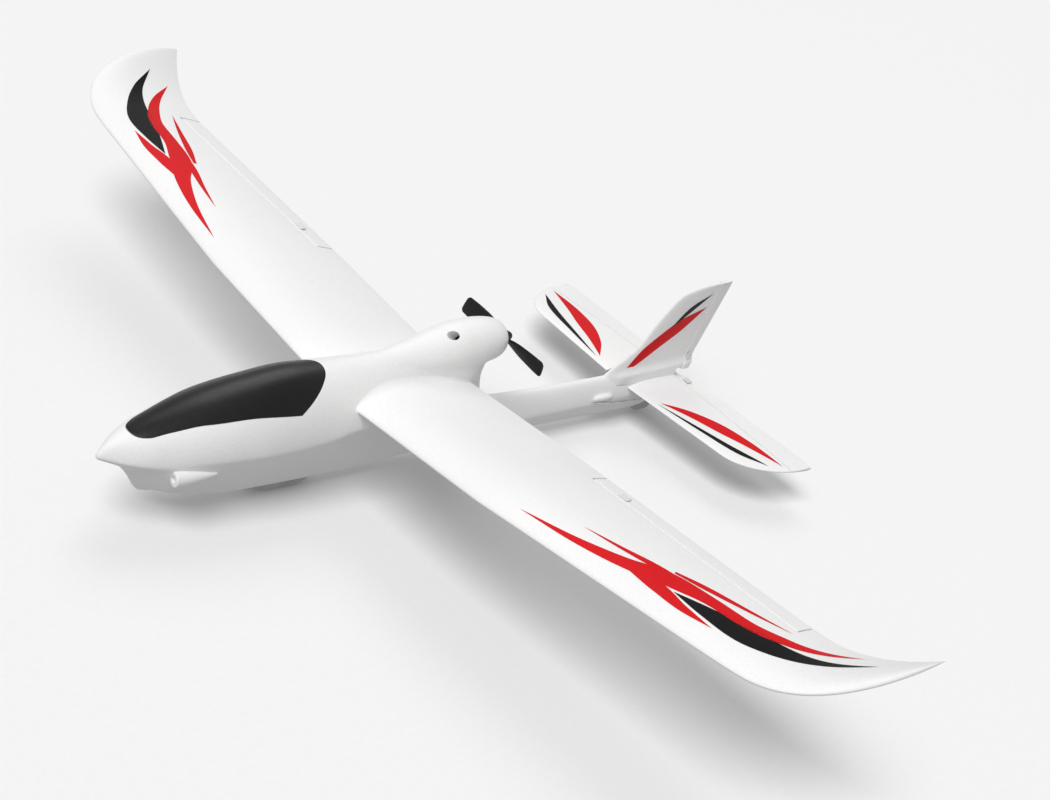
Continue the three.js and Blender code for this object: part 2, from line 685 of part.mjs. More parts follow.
function flightBoard() {
  const chips = [
    box([-7, 109, board.low[2] + 1], [2, 119, board.low[2] + 3.2]),
    box([3.4, 110, board.low[2] + 1], [9, 116, board.low[2] + 4]),
    box([-8, 123, board.low[2] + 1], [8, 130, board.high[2]]),
  ];
  return joined(box(board.low, [board.high[0], board.high[1], board.low[2] + 1.4]), ...chips);
}

// ---- Assembly ----
const glider = new THREE.Group();
glider.position.set(0, -SKID.station, -SKID.depth);

function add(parent, name, shape, material) {
  const geometry = shape instanceof wasm.Manifold ? geometryOf(shape) : shape;
  const mesh = new THREE.Mesh(geometry, material);
  mesh.name = name;
  parent.add(mesh);
  return mesh;
}

function addFuselage() {
  const whole = fuselage();
  for (const [side, x] of [["left", 1], ["right", -1]]) {
    const inner = (SPLIT_GAP / 2) * x;
    const outer = 60 * x;
    const halfSpace = box([Math.min(inner, outer), -10, -80], [Math.max(inner, outer), 460, 80]);
    add(glider, `fuselage_${side}_half`, whole.intersect(solid(halfSpace)), foam);
  }
  add(glider, "canopy_hatch", hatch(), blackFilm);
  add(glider, "hatch_magnet", bar(point(0, 106, 9.7), point(0, 106, 11.9), 3, 3, 20), steel);
  add(glider, "fuselage_magnet", bar(point(0, 106, 6.9), point(0, 106, 9.1), 3, 3, 20), steel);
  const { station, length, depth, flat, width } = SKID;
  add(glider, "belly_skid", skidBody(station, length, -44, depth, flat, width), whitePlastic);
  add(glider, "tail_skid", skidBody(412, 22, -40, -50, 8, 5), whitePlastic);
}

function addWing(side) {
  const half = new THREE.Group();
  half.scale.x = side === "left" ? 1 : -1;
  glider.add(half);
  add(half, `wing_${side}`, wingPanel(), foam);
  add(half, `aileron_${side}`, wingSkin.intersect(aileronRegion(0)), foam);
  const panel = new THREE.Group();
  panel.rotation.y = -DIHEDRAL;
  half.add(panel);
  const [pivotX, pivotY, pivotZ] = [wingServo.high[0] + 0.5, wingServo.low[1] + 5, -0.4];
  add(panel, `aileron_servo_${side}`, wingServoBody(wingServo), bluePlastic);
  const arm = add(panel, `aileron_servo_arm_${side}`, sideways(leverArm(true), 0, 1.2), whitePlastic);
  arm.position.set(pivotX, pivotY, pivotZ);
  const wireX = pivotX + 2.2;
  const hornZ = 0.6 - LEVER;
  const rodEnds = [point(wireX, pivotY, pivotZ - LEVER), point(wireX, aileronHornBase, hornZ)];
  const rod = wire(rodEnds, WIRE_RADIUS, 4);
  add(panel, `aileron_pushrod_${side}`, rod, steel);
  const horn = add(panel, `aileron_horn_${side}`, sideways(hornShape(2.4), 0, 1.2), whitePlastic);
  horn.position.set(HORN_PLACE, aileronHornBase, 0.6);
  const keeper = box(
    [HORN_PLACE - 2.2, aileronHornBase + 1.2, 2.6],
    [HORN_PLACE + 3.4, aileronHornBase + 5.4, 3.3],
  );
  add(panel, `aileron_horn_keeper_${side}`, keeper, whitePlastic);
}

function addTail() {
  const tail = solid(tailSkin(0));
  add(glider, "tailplane", tail.subtract(elevatorRegion(HINGE_GAP)), foam);
  add(glider, "elevator", elevatorBody(), foam);
  add(glider, "fin", finBody(), foam);
  add(glider, "rudder", finSkin.intersect(rudderRegion(0)), foam);
  const elevatorHorn = add(glider, "elevator_horn", sideways(hornShape(2.1), 0, 1.2), whitePlastic);
  elevatorHorn.position.set(10.6, 433, TAIL_HEIGHT);
  const elevatorKeeper = box([9, 434, TAIL_HEIGHT + 1.9], [14, 438, TAIL_HEIGHT + 2.6]);
  add(glider, "elevator_horn_keeper", elevatorKeeper, whitePlastic);
  const rudderHorn = add(glider, "rudder_horn", sideways(hornShape(1.6), 0, 1.2), whitePlastic);
  rudderHorn.rotation.y = Math.PI / 2;
  rudderHorn.position.set(0, rudderHinge(-13), RUDDER_WIRE_HEIGHT - 1.5);
  add(glider, "rudder_horn_keeper", box([1.6, 439, -15.5], [2.3, 443, -10.5]), whitePlastic);
}

function addServo(name, side, path) {
  const low = [side > 0 ? 1.6 : -11, 141, -27.8];
  const high = [side > 0 ? 11 : -1.6, 161, -10];
  const tab = box(
    [low[0] + 2, low[1] - SERVO_TAB, low[2] + 11],
    [high[0] - 2, high[1] + SERVO_TAB, low[2] + 12.2],
  );
  add(glider, `${name}_servo`, joined(box(low, high), tab), bluePlastic);
  const arm = add(glider, `${name}_servo_arm`, sideways(leverArm(true), -0.6, 1.2), whitePlastic);
  arm.position.set(side * servoPivot.across, servoPivot.station, servoPivot.height);
  add(glider, `${name}_pushrod`, wire(path, WIRE_RADIUS, 22, 6), steel);
}

function addPower() {
  add(glider, "motor_case", motorCase(), steel);
  add(glider, "motor_mount", motorMount(), whitePlastic);
  add(glider, "motor_screw_upper", motorScrew(1), steel);
  add(glider, "motor_screw_lower", motorScrew(-1), steel);
  const propeller = new THREE.Group();
  propeller.position.set(0, PROPELLER.station, MOTOR_HEIGHT);
  propeller.rotation.y = THREE.MathUtils.degToRad(PROPELLER.turn);
  glider.add(propeller);
  add(propeller, "propeller", propellerBody(), blackPlastic);
  add(propeller, "motor_shaft", bar(point(0, -19.5, 0), point(0, 3.2, 0), SHAFT_RADIUS), steel);
  const nut = [[0, 0], [2.6, 0], [2.4, 1.4], [1.5, 2.8], [0, 3.4]].map(([r, y]) => new THREE.Vector2(r, y));
  add(propeller, "propeller_nut", new THREE.LatheGeometry(nut, 20).translate(0, 3.5, 0), blackPlastic);
}

function addEquipment() {
  add(glider, "wing_joiner", joiner(JOINER_RADIUS), carbon);
  add(glider, "equipment_tray", trayBody(), birch);
  add(glider, "battery", box(battery.low, battery.high), bluePlastic);
  add(glider, "battery_strap", batteryStrap(), blackPlastic);
  add(glider, "flight_board", flightBoard(), boardGreen);
  const batteryLead = [point(0, 95.4, -20), point(3, 99, -16), point(0, 103, -20), point(0, 105.6, -26)];
  add(glider, "battery_lead", wire(batteryLead, 1, 10, 6), redRubber);
  const motorLead = [
    point(0, 134.6, -25), point(0, 139, -6), point(1, 160, -3), point(0, 184, 7.7), point(0, 210.4, 19.2),
  ];
  add(glider, "motor_lead", wire(motorLead, 1, 18, 6), redRubber);
}

addFuselage();
addWing("left");
addWing("right");
addTail();
addServo("elevator", 1, elevatorWirePath);
addServo("rudder", -1, rudderWirePath);
addPower();
addEquipment();

export default glider;
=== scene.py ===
# The looks of a small moulded foam glider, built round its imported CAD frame.
# Shapes are worked out in the station frame of the airframe: x across, y aft of the nose tip and z above
# the wing root's chord plane, all in millimetres. They are moved to the row frame as each mesh is made.
import json
import math
import bmesh
import bpy
import numpy as np
from mathutils import Matrix, Vector


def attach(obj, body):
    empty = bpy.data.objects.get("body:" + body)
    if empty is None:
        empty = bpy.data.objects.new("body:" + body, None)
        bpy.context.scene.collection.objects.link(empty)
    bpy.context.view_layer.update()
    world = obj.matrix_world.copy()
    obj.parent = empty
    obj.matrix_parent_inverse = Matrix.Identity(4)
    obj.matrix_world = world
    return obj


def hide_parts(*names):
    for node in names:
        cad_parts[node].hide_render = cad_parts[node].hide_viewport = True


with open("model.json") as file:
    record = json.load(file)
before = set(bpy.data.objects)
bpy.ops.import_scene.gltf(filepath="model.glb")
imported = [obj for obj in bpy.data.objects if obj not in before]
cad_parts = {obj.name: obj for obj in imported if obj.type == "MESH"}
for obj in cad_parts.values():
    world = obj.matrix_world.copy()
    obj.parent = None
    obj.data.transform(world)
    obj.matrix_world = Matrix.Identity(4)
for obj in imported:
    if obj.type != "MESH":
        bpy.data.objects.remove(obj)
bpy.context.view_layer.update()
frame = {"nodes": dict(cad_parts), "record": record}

MM = 0.001
ORIGIN = np.array([0.0, 113.0, -52.4])
DIHEDRAL = math.radians(5.26)
HALF_SPAN = 300.0
TAIL_HALF_SPAN = 110.0
TAIL_ROUNDED_FROM = 80.0
TAIL_HEIGHT = -26.8
FUSELAGE_END = 430.0
MOTOR_HEIGHT = 20.5
WING = {"leading": 130.4, "trailing": 220.2, "break": 106.6, "thickness": 0.1, "camber": 0.03}
TAIL_THICKNESS = 0.055
AILERON = {"inner": 113.8, "outer": 245.4, "inner_hinge": 205.8, "outer_hinge": 198.0}
HINGE_GAP = 0.8
SKIN_WALL = 4.0
HATCH_WALL = 2.6


# ---- Curves and sections ----
def through(*knots):
    """A smooth curve through (place, value) knots that never overshoots them."""
    places, values = (np.array(column, float) for column in zip(*knots))
    rise = np.diff(values) / np.diff(places)
    slopes = np.concatenate([rise[:1], np.zeros(len(rise) - 1), rise[-1:]])
    for i in range(1, len(rise)):
        before, after = rise[i - 1], rise[i]
        if before * after > 0:
            slopes[i] = 2 * before * after / (before + after)

    def curve(place):
        place = np.asarray(place, float)
        i = np.clip(np.searchsorted(places, place, side="right") - 1, 0, len(places) - 2)
        width = places[i + 1] - places[i]
        t = np.clip((place - places[i]) / width, 0, 1)
        bend = t * (1 - t) * width * ((1 - t) * slopes[i] - t * slopes[i + 1])
        return values[i] + (values[i + 1] - values[i]) * t * t * (3 - 2 * t) + bend

    return curve


def lerp(a, b, t):
    return a + (b - a) * t


HULL_TOP = through(
    (0, -16.6), (3, -12.6), (8, -8.4), (15, -4.9), (33, 2), (50, 7.5), (75, 13.3), (103, 17.2), (122, 17.4),
    (145, 18.2), (179, 22), (205, 24), (222, 20), (234, 9), (239, -4), (243, -14), (250, -19.3),
    (300, -20.3), (355, -19.5), (395, -17.5), (FUSELAGE_END, -16.5),
)
HULL_CREASE = through(
    (0, -17.9), (24, -17.9), (40, -16), (60, -14.2), (96, -13), (115, -11), (135, -8), (150, -8.5),
    (175, -13), (200, -20), (225, -28), (244, -33), (284, -34.5), (385, -32.5), (FUSELAGE_END, -29),
)
HULL_KEEL = through(
    (0, -18.9), (10, -22.4), (17, -28), (29, -41.4), (38, -42.8), (55, -45.3), (80, -47), (146, -47.4),
    (198, -45.6), (250, -45.6), (394, -45.2), (412, -43), (FUSELAGE_END, -31),
)
HULL_CORNER = through(
    (0, -18.7), (15, -25), (38, -37.4), (55, -41.2), (80, -44), (146, -44.4), (198, -43.2), (250, -44.4),
    (394, -44.1), (412, -42), (FUSELAGE_END, -30.4),
)
HULL_WIDTH = through(
    (0, 0.9), (3, 3.4), (8, 7.4), (15, 11.8), (24, 15.5), (40, 20), (60, 23.5), (80, 25), (115, 25),
    (140, 23.5), (165, 20), (195, 16), (225, 12.5), (250, 9), (300, 8.2), (385, 7.4), (415, 6),
    (FUSELAGE_END, 4.2),
)
HULL_SHOULDER = through(
    (0, 0.9), (24, 15.2), (60, 22), (100, 22.5), (122, 20), (145, 16), (165, 14), (200, 12.4), (228, 9.6),
    (240, 7), (254, 6.4), (385, 5), (FUSELAGE_END, 3),
)
HULL_CORNER_WIDTH = through(
    (0, 0.3), (9, 0.8), (15, 1.8), (38, 10), (60, 10.6), (92, 10.6), (158, 10), (210, 7.6), (250, 4.8),
    (394, 4.8), (FUSELAGE_END, 2),
)
POD_RADIUS = through(
    (150, 5), (179, 10), (196, 12), (208, 12.9), (220, 13), (230, 12.5), (236.5, 11.5), (241, 9.6),
    (243.2, 7.2), (244, 4.6),
)
POD_HEIGHT = through((150, 12), (179, 14.4), (196, 17.2), (210, 19.4), (226, 20.3), (244, 20.5))
PYLON_WIDTH = through((160, 7), (190, 11.8), (212, 11.6), (226, 9.6), (233, 6.4), (236, 2.6))
PYLON_HEIGHT, PYLON_RISE = 3, 17


def hull_half(station, margin=0.0, top_steps=22, side_steps=12, keel_steps=4):
    """Half of a fuselage section, from the top centre to the keel, as rows of (x, z)."""
    crease, top = float(HULL_CREASE(station)), float(HULL_TOP(station)) + margin
    keel, corner = float(HULL_KEEL(station)) - margin, float(HULL_CORNER(station)) - margin
    width, shoulder = float(HULL_WIDTH(station)) + margin, float(HULL_SHOULDER(station)) + margin
    corner_width = max(float(HULL_CORNER_WIDTH(station)) + margin / 2, 0.2)
    angle = np.linspace(math.pi / 2, 0, top_steps + 1)
    across = lerp(width, shoulder, np.sin(angle)) * np.cos(angle)
    upper = np.column_stack([across, crease + (top - crease) * np.sin(angle)])
    t = np.linspace(0, 1, side_steps + 1)[1:, None]
    bend = np.array([lerp(corner_width, width, 0.62), lerp(crease, corner, 0.56)])
    side = (1 - t) ** 2 * upper[-1] + 2 * t * (1 - t) * bend + t**2 * np.array([corner_width, corner])
    s = np.linspace(0, 1, keel_steps + 1)[1:, None]
    floor = lerp(side[-1], np.array([0.0, keel]), s)
    upper[0, 0] = 0
    return np.vstack([upper, side, floor])


def hull_rings(margin, stations):
    rings = []
    for station in stations:
        half = hull_half(station, margin)
        ring = np.vstack([half, half[-2:0:-1] * [-1, 1]])
        rings.append(np.column_stack([ring[:, 0], np.full(len(ring), station), ring[:, 1]]))
    return rings


def body_half_width(station, height):
    """How far out the fuselage and pod reach at one place on their side."""
    half = hull_half(station)
    order = np.argsort(half[:, 1])
    hull = np.interp(height, half[order, 1], half[order, 0], left=0, right=0)
    pod = 0.0
    if station > 150:
        pod = math.sqrt(max(float(POD_RADIUS(station)) ** 2 - (height - float(POD_HEIGHT(station))) ** 2, 0))
    pylon = 0.0
    if 160 < station < 236:
        level = (height - PYLON_HEIGHT) / PYLON_RISE
        pylon = float(PYLON_WIDTH(station)) * math.sqrt(max(1 - level**2, 0))
    return max(float(hull), pod, pylon)


def foil(fraction, side, thickness, camber):
    """Height of an aerofoil's skin, as a share of its chord."""
    u = np.asarray(fraction, float)
    body = 0.2969 * np.sqrt(u) - 0.126 * u - 0.3516 * u**2 + 0.2843 * u**3 - 0.1036 * u**4
    line = np.where(u < 0.4, (0.8 * u - u * u) / 0.16, (0.2 + 0.8 * u - u * u) / 0.36)
    return camber * line + side * (5 * thickness * body + 0.004 * u)


def foil_ring(thickness, camber, steps=34):
    """(chord fraction, height) round an aerofoil from its trailing edge over the top and back."""
    u = 0.5 - 0.5 * np.cos(np.linspace(0, math.pi, steps + 1))
    upper = np.column_stack([u, foil(u, 1, thickness, camber)])[::-1]
    lower = np.column_stack([u, foil(u, -1, thickness, camber)])[1:]
    return np.vstack([upper, lower])


def taper(x, inner, outer):
    return inner * min(x, WING["break"]) + outer * max(x - WING["break"], 0)


def wing_edges(x):
    """Leading edge, trailing edge and height of the wing at a distance from the centre."""
    tip_leading = WING["leading"] + taper(HALF_SPAN, 0, 0.087)
    tip_trailing = WING["trailing"] - taper(HALF_SPAN, 0.012, 0.046)
    round_in = min(max((x - 213) / 87, 0), 0.99995)
    sweep = min(max((x - 231) / 69, 0), 1)
    rounding = (223.5 - tip_leading) * (1 - math.sqrt(1 - round_in**5))
    leading = WING["leading"] + taper(x, 0, 0.087) + rounding
    trailing = WING["trailing"] - taper(x, 0.012, 0.046) + (225 - tip_trailing) * sweep**2.5
    return leading, trailing, x * math.tan(DIHEDRAL) + 18 * max((x - 252) / 48, 0) ** 2


def wing_point(x, u, v):
    leading, trailing, height = wing_edges(x)
    chord = trailing - leading
    return np.array([x, leading + u * chord, height + v * chord])


def wing_top(x, y):
    leading, trailing, height = wing_edges(x)
    chord = trailing - leading
    u = min(max((y - leading) / chord, 0), 1)
    return height + chord * float(foil(u, 1, WING["thickness"], WING["camber"]))


def tail_edges(x):
    bend = min(max((abs(x) - TAIL_ROUNDED_FROM) / (TAIL_HALF_SPAN - TAIL_ROUNDED_FROM), 0), 1)
    leading = 380.6 + 0.081 * abs(x) + 54 * (1 - math.sqrt(1 - 0.998 * bend**2))
    return leading, 446.2 + 0.025 * abs(x) - 1.5 * bend**6


def tail_half_thickness(x, y):
    leading, trailing = tail_edges(x)
    chord = trailing - leading
    u = min(max((y - leading) / chord, 0), 1)
    return max(chord, 30) * float(foil(u, 1, TAIL_THICKNESS, 0))


FIN_LEADING = through(
    (-24.4, 355), (-16, 362.8), (-8, 374), (0, 384), (13.7, 391), (26, 398.8), (34, 406), (38.4, 419),
    (40.6, 431), (41.4, 440),
)


def fin_section(z):
    """Leading edge, chord and relative thickness of the fin and rudder at one height."""
    leading = float(FIN_LEADING(z))
    chord = 448.5 + 0.152 * z - leading
    return leading, chord, max(chord, 46) * 0.061 / chord


def fin_half_thickness(y, z):
    leading, chord, thickness = fin_section(z)
    u = min(max((y - leading) / chord, 0), 1)
    return chord * float(foil(u, 1, thickness, 0))


def rudder_hinge(z):
    return 438.3 + 0.09 * z


# ---- Meshes ----
def mesh(name, points, faces):
    data = bpy.data.meshes.new(name)
    data.from_pydata(((np.asarray(points, float) - ORIGIN) * MM).tolist(), [], faces)
    made = bmesh.new()
    made.from_mesh(data)
    bmesh.ops.recalc_face_normals(made, faces=made.faces)
    made.to_mesh(data)
    made.free()
    thing = bpy.data.objects.new(name, data)
    bpy.context.scene.collection.objects.link(thing)
    return thing


def loft(name, rings, caps=True):
    """A skin over rings of equally many points, with a fan over each end."""
    rings = [np.asarray(ring, float) for ring in rings]
    count = len(rings[0])
    points = np.vstack(rings)
    faces = []
    for i in range(len(rings) - 1):
        for j in range(count):
            k = (j + 1) % count
            faces.append((i * count + j, i * count + k, (i + 1) * count + k, (i + 1) * count + j))
    if caps:
        last = (len(rings) - 1) * count
        points = np.vstack([points, rings[0].mean(0), rings[-1].mean(0)])
        for j in range(count):
            k = (j + 1) % count
            faces.append((len(points) - 2, k, j))
            faces.append((len(points) - 1, last + j, last + k))
    return mesh(name, points, faces)


def sheet(name, grid):
    """An open skin over a grid of points."""
    grid = np.asarray(grid, float)
    rows, columns = grid.shape[:2]
    faces = [
        (i * columns + j, i * columns + j + 1, (i + 1) * columns + j + 1, (i + 1) * columns + j)
        for i in range(rows - 1)
        for j in range(columns - 1)
    ]
    return mesh(name, grid.reshape(-1, 3), faces)


def prism(name, outline, low, high, axis):
    """An outline spread along one axis; its points name the other two coordinates in order."""
    ends = []
    for level in (low, high):
        ends.append([np.insert(np.asarray(p, float), axis, level) for p in outline])
    count = len(outline)
    faces = [tuple(range(count)), tuple(range(2 * count - 1, count - 1, -1))]
    faces += [(j, (j + 1) % count, count + (j + 1) % count, count + j) for j in range(count)]
    return mesh(name, np.array(ends[0] + ends[1]), faces)


def block(name, low, high, bevel=0.0):
    """A box whose edges are rounded."""
    (left, front, floor_level), (right_side, back_side, roof) = low, high
    outline = [(left, front), (right_side, front), (right_side, back_side), (left, back_side)]
    thing = prism(name, outline, floor_level, roof, 2)
    if bevel:
        change(thing, "BEVEL", width=bevel * MM, segments=3, limit_method="ANGLE")
        settle(thing)
    return thing


def turned(name, profile, start, way, segments=40):
    """A solid of revolution: rows of (distance along way, radius) from start."""
    way = np.asarray(way, float) / np.linalg.norm(way)
    side = np.cross(way, [0, 0, 1] if abs(way[2]) < 0.9 else [1, 0, 0])
    side /= np.linalg.norm(side)
    other = np.cross(way, side)
    angle = np.linspace(0, 2 * math.pi, segments, endpoint=False)[:, None]
    circle = np.cos(angle) * side + np.sin(angle) * other
    start = np.asarray(start, float)
    return loft(name, [start + along * way + max(radius, 0.01) * circle for along, radius in profile])


def change(thing, kind, **settings):
    modifier = thing.modifiers.new(kind.lower(), kind)
    for key, value in settings.items():
        setattr(modifier, key, value)
    return thing


def settle(thing):
    """Turns a mesh's modifiers into geometry."""
    view = bpy.context.evaluated_depsgraph_get()
    data = bpy.data.meshes.new_from_object(thing.evaluated_get(view))
    thing.modifiers.clear()
    thing.data = data
    return thing


def combined(thing, operation, *tools):
    """thing joined to, cut by or kept inside each tool, which is used up."""
    for tool in tools:
        change(thing, "BOOLEAN", operation=operation, solver="MANIFOLD", object=tool)
    settle(thing)
    for tool in tools:
        bpy.data.objects.remove(tool)
    return thing


def copy_of(thing, name):
    made = thing.copy()
    made.data = thing.data.copy()
    made.name = name
    bpy.context.scene.collection.objects.link(made)
    return made


def mirrored(thing, name):
    made = copy_of(thing, name)
    made.data.transform(Matrix.Scale(-1, 4, (1, 0, 0)))
    made.data.flip_normals()
    return made


def merged(name, *things):
    """Several closed meshes kept as one piece."""
    made = bmesh.new()
    for thing in things:
        made.from_mesh(thing.data)
        bpy.data.objects.remove(thing)
    data = bpy.data.meshes.new(name)
    made.to_mesh(data)
    made.free()
    result = bpy.data.objects.new(name, data)
    bpy.context.scene.collection.objects.link(result)
    return result


# ---- Materials ----
def node_material(name):
    material = bpy.data.materials.new(name)
    material.use_nodes = True
    tree = material.node_tree
    shader = tree.nodes["Principled BSDF"]

    def add(kind, values=None, **settings):
        node = tree.nodes.new("ShaderNode" + kind)
        for key, value in settings.items():
            setattr(node, key, value)
        for key, value in (values or {}).items():
            if isinstance(value, bpy.types.NodeSocket):
                tree.links.new(value, node.inputs[key])
            else:
                node.inputs[key].default_value = value
        return node

    def shade(**values):
        for key, value in values.items():
            target = shader.inputs[key.replace("_", " ")]
            if isinstance(value, bpy.types.NodeSocket):
                tree.links.new(value, target)
            else:
                target.default_value = value

    return material, add, shade


def colour_mix(add, factor, dark, light):
    """Nodes that run from one colour to another."""
    node = add("Mix", {"Factor": factor}, data_type="RGBA")
    for socket, value in zip([s for s in node.inputs if s.type == "RGBA"], (dark, light)):
        if isinstance(value, bpy.types.NodeSocket):
            node.id_data.links.new(value, socket)
        else:
            socket.default_value = (*value, 1)
    return [s for s in node.outputs if s.type == "RGBA"][0]


def spread(add, value, low, high, out_low=0.0, out_high=1.0):
    limits = {"From Min": low, "From Max": high, "To Min": out_low, "To Max": out_high}
    return add("MapRange", {"Value": value, **limits}).outputs["Result"]


def place_node(add, stretch=(1, 1, 1)):
    """Texture space in metres of the row frame, which rides with its piece."""
    return add("Mapping", {"Vector": add("TexCoord").outputs["Object"], "Scale": stretch}).outputs["Vector"]


def moulded_foam(name, light, dark, ink=False):
    """Expanded beads pressed together: faint cell borders, a fine grain and a soft sheen."""
    material, add, shade = node_material(name)
    place = place_node(add)
    grain = add("TexNoise", {"Vector": place, "Scale": 900.0, "Detail": 3.0}).outputs["Fac"]
    drift = add("TexNoise", {"Vector": place, "Scale": 14.0, "Detail": 2.0}).outputs["Fac"]
    cells = {"Vector": place, "Scale": 380.0, "Randomness": 0.9}
    border = add("TexVoronoi", cells, feature="DISTANCE_TO_EDGE").outputs["Distance"]
    bead = spread(add, border, 0.0, 0.09)
    tone = add("Math", {0: bead, 1: spread(add, drift, 0.3, 0.7, 0.25, 0.75)}, operation="MULTIPLY_ADD")
    tone.inputs[2].default_value = 0.45
    shade(Base_Color=colour_mix(add, tone.outputs[0], dark, light))
    height = add("Math", {0: grain, 1: 0.35, 2: bead}, operation="MULTIPLY_ADD").outputs[0]
    edge = add("Bevel", {"Radius": 0.0004}, samples=4).outputs["Normal"]
    strength = 0.06 if ink else 0.10
    bump = add("Bump", {"Strength": strength, "Distance": 0.0003, "Height": height, "Normal": edge})
    shade(Normal=bump.outputs["Normal"], Roughness=0.5 if ink else spread(add, grain, 0.3, 0.7, 0.42, 0.56))
    shade(Specular_IOR_Level=0.12 if ink else 0.4)
    return material


def plastic(
    name, light, dark, roughness=0.4, coat=0.0, grain_size=1600.0, relief=0.08, cloudy=60.0, clear=0.0,
    shine=0.5,
):
    """Injection moulded plastic: a fine spark-eroded grain, slow tone changes and softened edges."""
    material, add, shade = node_material(name)
    place = place_node(add)
    grain = add("TexNoise", {"Vector": place, "Scale": grain_size, "Detail": 4.0}).outputs["Fac"]
    cloud = add("TexNoise", {"Vector": place, "Scale": cloudy, "Detail": 3.0}).outputs["Fac"]
    shade(Base_Color=colour_mix(add, spread(add, cloud, 0.3, 0.7), dark, light))
    shade(Roughness=spread(add, grain, 0.3, 0.7, roughness - 0.06, roughness + 0.08))
    edge = add("Bevel", {"Radius": 0.0003}, samples=4).outputs["Normal"]
    bump = add("Bump", {"Strength": relief, "Distance": 0.0002, "Height": grain, "Normal": edge})
    shade(Normal=bump.outputs["Normal"], Coat_Weight=coat, Coat_Roughness=0.12, Transmission_Weight=clear)
    shade(Specular_IOR_Level=shine)
    return material


def metal(name, light, dark, roughness=0.28, brushed=(1, 1, 40)):
    """Machined metal with fine directional marks and a little tarnish."""
    material, add, shade = node_material(name)
    place = place_node(add, brushed)
    marks = add("TexNoise", {"Vector": place, "Scale": 900.0, "Detail": 5.0}).outputs["Fac"]
    stain = add("TexNoise", {"Vector": place_node(add), "Scale": 140.0, "Detail": 4.0}).outputs["Fac"]
    shade(Base_Color=colour_mix(add, spread(add, stain, 0.35, 0.65), dark, light), Metallic=1.0)
    shade(Roughness=spread(add, marks, 0.3, 0.7, roughness - 0.08, roughness + 0.14))
    shade(Normal=add("Bump", {"Strength": 0.12, "Distance": 0.0001, "Height": marks}).outputs["Normal"])
    return material


def striped(name, light, dark, waves, roughness, relief, stretch=(1, 1, 1), distort=2.0, coat=0.0):
    """Long grain, as in plywood or drawn carbon rod."""
    material, add, shade = node_material(name)
    place = place_node(add, stretch)
    fine = {"Distortion": distort, "Detail": 4.0, "Detail Scale": 2.0}
    bands = add("TexWave", {"Vector": place, "Scale": waves, **fine}).outputs["Fac"]
    pores = add("TexNoise", {"Vector": place, "Scale": 1400.0, "Detail": 3.0}).outputs["Fac"]
    mixed = add("Math", {0: pores, 1: 0.5, 2: bands}, operation="MULTIPLY_ADD").outputs[0]
    shade(Base_Color=colour_mix(add, spread(add, mixed, 0.2, 1.3), dark, light), Coat_Weight=coat)
    shade(Roughness=spread(add, pores, 0.3, 0.7, roughness - 0.05, roughness + 0.1))
    shade(Normal=add("Bump", {"Strength": relief, "Distance": 0.0002, "Height": mixed}).outputs["Normal"])
    return material


WHITE_FOAM = moulded_foam("white_moulded_foam", (0.93, 0.93, 0.925), (0.86, 0.86, 0.865))
RED_INK = moulded_foam("red_decal", (0.72, 0.004, 0.008), (0.58, 0.003, 0.006), ink=True)
BLACK_INK = moulded_foam("black_decal", (0.004, 0.004, 0.004), (0.002, 0.002, 0.002), ink=True)
HATCH_FILM = plastic(
    "satin_black_film", (0.009, 0.009, 0.010), (0.005, 0.005, 0.006), 0.34, 0.0, 900.0, 0.08, 30.0, shine=0.4
)
BLACK_NYLON = plastic("black_nylon", (0.014, 0.014, 0.015), (0.008, 0.008, 0.009), 0.42, shine=0.25)
WHITE_NYLON = plastic("white_nylon", (0.80, 0.80, 0.78), (0.72, 0.72, 0.70), 0.36, 0.05)
BLUE_CASE = plastic("blue_servo_case", (0.02, 0.12, 0.45), (0.01, 0.07, 0.30), 0.22, 0.4, clear=0.25)
WRAP = plastic("cell_wrap", (0.03, 0.09, 0.30), (0.015, 0.05, 0.2), 0.28, 0.5, 700.0, 0.2)
BOARD_GREEN = plastic("solder_mask", (0.02, 0.20, 0.09), (0.008, 0.09, 0.04), 0.3, 0.3, 2600.0, 0.3, 900.0)
RED_LEAD = plastic("silicone_lead", (0.55, 0.02, 0.02), (0.38, 0.012, 0.012), 0.5)
# Painted shade: a mid grey for both skids, darker than their white plastic, standing in for the shade they
# sit in under the belly and the tailplane.
SKID_GREY_PAINTED_SHADE = plastic("skid_grey_painted_shade", (0.46, 0.46, 0.47), (0.38, 0.38, 0.39), 0.4, 0.05)
STRAP = striped("woven_strap", (0.035, 0.035, 0.038), (0.012, 0.012, 0.013), 700.0, 0.75, 0.5, distort=0.6)
STEEL = metal("bright_steel", (0.72, 0.73, 0.75), (0.55, 0.56, 0.58))
CAN_STEEL = metal("motor_can_steel", (0.58, 0.59, 0.61), (0.42, 0.43, 0.45), 0.34, (1, 30, 1))
CARBON = striped(
    "drawn_carbon", (0.05, 0.05, 0.055), (0.015, 0.015, 0.017), 260.0, 0.35, 0.15, (0.05, 1, 1), 3.0, 0.3
)
PLYWOOD = striped(
    "birch_plywood", (0.66, 0.47, 0.27), (0.50, 0.33, 0.17), 120.0, 0.6, 0.25, (1, 0.08, 1), 6.0
)


def finish(thing, body, material, slot, *nodes, angle=32):
    """Smooth shading, a material, a body to ride on and the CAD nodes that a piece stands for."""
    thing.data.materials.clear()
    thing.data.materials.append(material)
    thing.data.polygons.foreach_set("use_smooth", [True] * len(thing.data.polygons))
    thing.data.set_sharp_from_angle(angle=math.radians(angle))
    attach(thing, body)
    if nodes:
        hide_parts(*nodes)
    return thing


